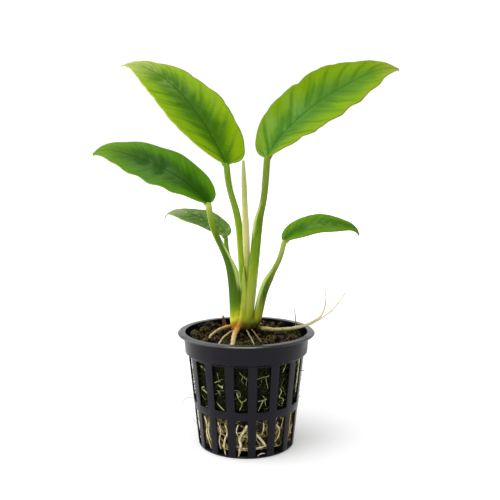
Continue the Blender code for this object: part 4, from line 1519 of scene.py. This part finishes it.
# %% Root mat
def mat_core():
    """The inner mat: a plain lumpy drum, set back from the slots."""
    foot = POT_WALL + WALL_GAP
    corners = [
        (0.0, ROOT_MASS_TOP), (wall_radius(ROOT_MASS_TOP) - 2.4, ROOT_MASS_TOP),
        (wall_radius(9.0) - 2.6, 9.0), (wall_radius(5.5) - 3.4, 5.5),
        (FLOOR_RADIUS - 8.0, foot), (0.0, foot),
    ]
    shape = spun_shape(spun_points(corners, 1.0), 110)
    for vert in shape.verts:
        reach = math.hypot(vert.co.x, vert.co.y)
        if reach > 6.0:
            lump = 1.3 * noise.noise(vert.co * 0.45) + 0.6 * noise.noise(vert.co * 1.3)
            vert.co.x *= 1.0 + lump / reach
            vert.co.y *= 1.0 + lump / reach
    return shape


def matted_roots():
    """The mat of dead and living roots: ochre tissue and fibres, with black patches of painted
    shade where the mat is hollow.
    """
    surface, node, shader = new_material("matted_roots", IOR=1.4)
    place = node("TexCoord").outputs["Object"]
    drawn = node("Mapping", {"Vector": place, "Scale": (1.0, 1.0, 0.22)})
    fibres = node("TexNoise", (drawn, PER_MM / 0.8, 4.0))
    tissue = node("TexNoise", (place, PER_MM / 4.0, 2.0))
    hollow_shade = node("TexNoise", (place, PER_MM / 3.0, 3.0))
    strand = node("MapRange", (fibres, 0.36, 0.62), **SOFT)
    tone = node("Mix", (strand, "#4c4018", "#c8bc80"), **COLOUR)
    sheet = node("MapRange", (tissue, 0.5, 0.6, 0.0, 0.7), **SOFT)
    tone = node("Mix", (sheet, tone, "#aca044"), **COLOUR)
    # Black patches are painted shade, as in the gaps between the roots.
    dark = node("MapRange", (hollow_shade, 0.52, 0.46), **SOFT)
    link_up(
        shader, Base_Color=node("Mix", (dark, "#120d05", tone), **COLOUR),
        Roughness=node("MapRange", (fibres, 0.3, 0.7, 0.75, 0.5), **SOFT),
        Normal=node("Bump", {"Height": fibres, "Distance": 0.6 * MM}))
    return surface


finish_piece("root_mat", mat_core(), [matted_roots()], ["root_mass"])


# %% Root tangle
TANGLE_FOOT = 3.4               # only a few roots hang lower, in the dark under the mat
TAN_COUNT = 230
CREAM_COUNT = 60


def tangle(count, thin, thick, depth):
    """Roots wound down the inside of the wall behind the lower slots."""
    paths = []
    for _ in range(count):
        angle = draw.uniform(0.0, math.tau)
        height = draw.uniform(5.0, LOWER_SLOT_TOP + 1.0)
        radius = draw.uniform(thin, thick)
        inset = draw.uniform(0.05, depth)
        tilt = draw.choice((-1.0, 1.0)) * draw.uniform(0.0, 1.25) - math.pi / 2.0
        path = []
        for _ in range(draw.randint(5, 9)):
            height = max(height, TANGLE_FOOT + radius)
            reach = wall_radius(height) - POT_WALL - radius - inset
            path.append((*round_pot(angle, reach, height), radius * draw.uniform(0.85, 1.1)))
            span = draw.uniform(1.2, 2.6)
            tilt += draw.uniform(-0.5, 0.5)
            angle += span * math.cos(tilt) / reach
            height += span * math.sin(tilt)
            inset = min(depth, max(0.05, inset + draw.uniform(-0.5, 0.5)))
        paths.append(smooth_path(path, 3))
    return paths


tan_roots = tangle(TAN_COUNT, 0.12, 0.36, 2.2)
tan_skin = plain_fibre("tan_root", "#6c5820", "#b09a52")
strands("tangle_tan", tan_roots, tan_skin, 1)
cream_roots = tangle(CREAM_COUNT, 0.08, 0.26, 1.2) + pressed(PRESSED_CREAM)
cream_skin = plain_fibre("cream_root", "#bcae70", "#f4eac4")
strands("tangle_cream", cream_roots, cream_skin, 2)

# %% [markdown]
# ## Loose ends
#
# A few hairs give the plant away as a living one: pale fibres on the soil, a hair
# that stands up near the rim, a loop that has grown out of a slot, and a dry brown
# scale that once wrapped a leaf.

# %% Hairs
HAIRS = [                       # places with a radius: by the rim, then from slots
    [(21.3, -2.0, 48.5, 0.3), (21.4, -2.0, 52.5, 0.26), (21.2, -2.0, 56.0, 0.22),
     (20.8, -2.0, 60.0, 0.12)],
    [(-21.5, -2.0, 20.2, 0.09), (-23.5, -2.6, 20.7, 0.08), (-26.1, -4.0, 20.8, 0.07),
     (-27.5, -4.6, 19.6, 0.06), (-28.2, -5.0, 17.4, 0.04)],
    [(-20.6, -3.6, 8.0, 0.1), (-22.3, -4.4, 10.4, 0.08), (-23.3, -5.0, 12.6, 0.05)],
    [(23.0, -3.0, 33.1, 0.2), (24.3, -3.0, 32.9, 0.16), (25.5, -3.0, 32.5, 0.07)],
]
hair_paths = [smooth_path(row, 5) for row in HAIRS]
strands("stray_hairs", hair_paths, plain_fibre("dry_hair_root", "#5a6040", "#84845c"), 1)

# %% Pale fibres
PALE_FIBRE_COUNT = 90
pale_fibres = []
for _ in range(PALE_FIBRE_COUNT):
    angle = draw.uniform(0.0, math.tau)
    reach = draw.uniform(7.0, 23.5)
    tilt = draw.uniform(0.0, math.tau)
    radius = draw.uniform(0.05, 0.13)
    x, y = reach * math.cos(angle), reach * math.sin(angle)
    path = []
    for _ in range(draw.randint(4, 8)):
        if math.hypot(x, y) > 24.0:
            break
        path.append((x, y, soil_height(x, y) + radius + draw.uniform(0.1, 0.7), radius))
        tilt += draw.uniform(-0.8, 0.8)
        x += 1.1 * math.cos(tilt)
        y += 1.1 * math.sin(tilt)
    if len(path) > 2:
        pale_fibres.append(smooth_path(path, 3))
strands("pale_fibres", pale_fibres, plain_fibre("pale_fibre", "#5e5432", "#98905c"), 0)

# %% New root tip and dry scale
NEW_ROOT = [(4.2, 1.6, 52.6, 0.45), (5.3, 2.0, 53.6, 0.5), (6.5, 1.6, 52.3, 0.4)]
new_root_skin = plain_fibre("new_root_tip", "#d8d4bc", "#efecd8")
strands("white_root_stub", [smooth_path(NEW_ROOT, 5)], new_root_skin, 2)

DRY_SCALE = [
    (-9.6, 5.0, 51.0, 0.8, 0.25), (-9.9, 5.2, 52.8, 0.8, 0.25), (-10.2, 5.6, 54.2, 0.55, 0.2),
    (-10.4, 6.0, 55.6, 0.12, 0.1),
]
scale_skin = plain_fibre("dry_scale", "#5e3a22", "#9a6a40", 0.7)
dry_scale = swept_tube(smooth_path(DRY_SCALE, 5), 12, Vector((0, 1, 0)))
finish_piece("dry_leaf_scale", dry_scale, [scale_skin])
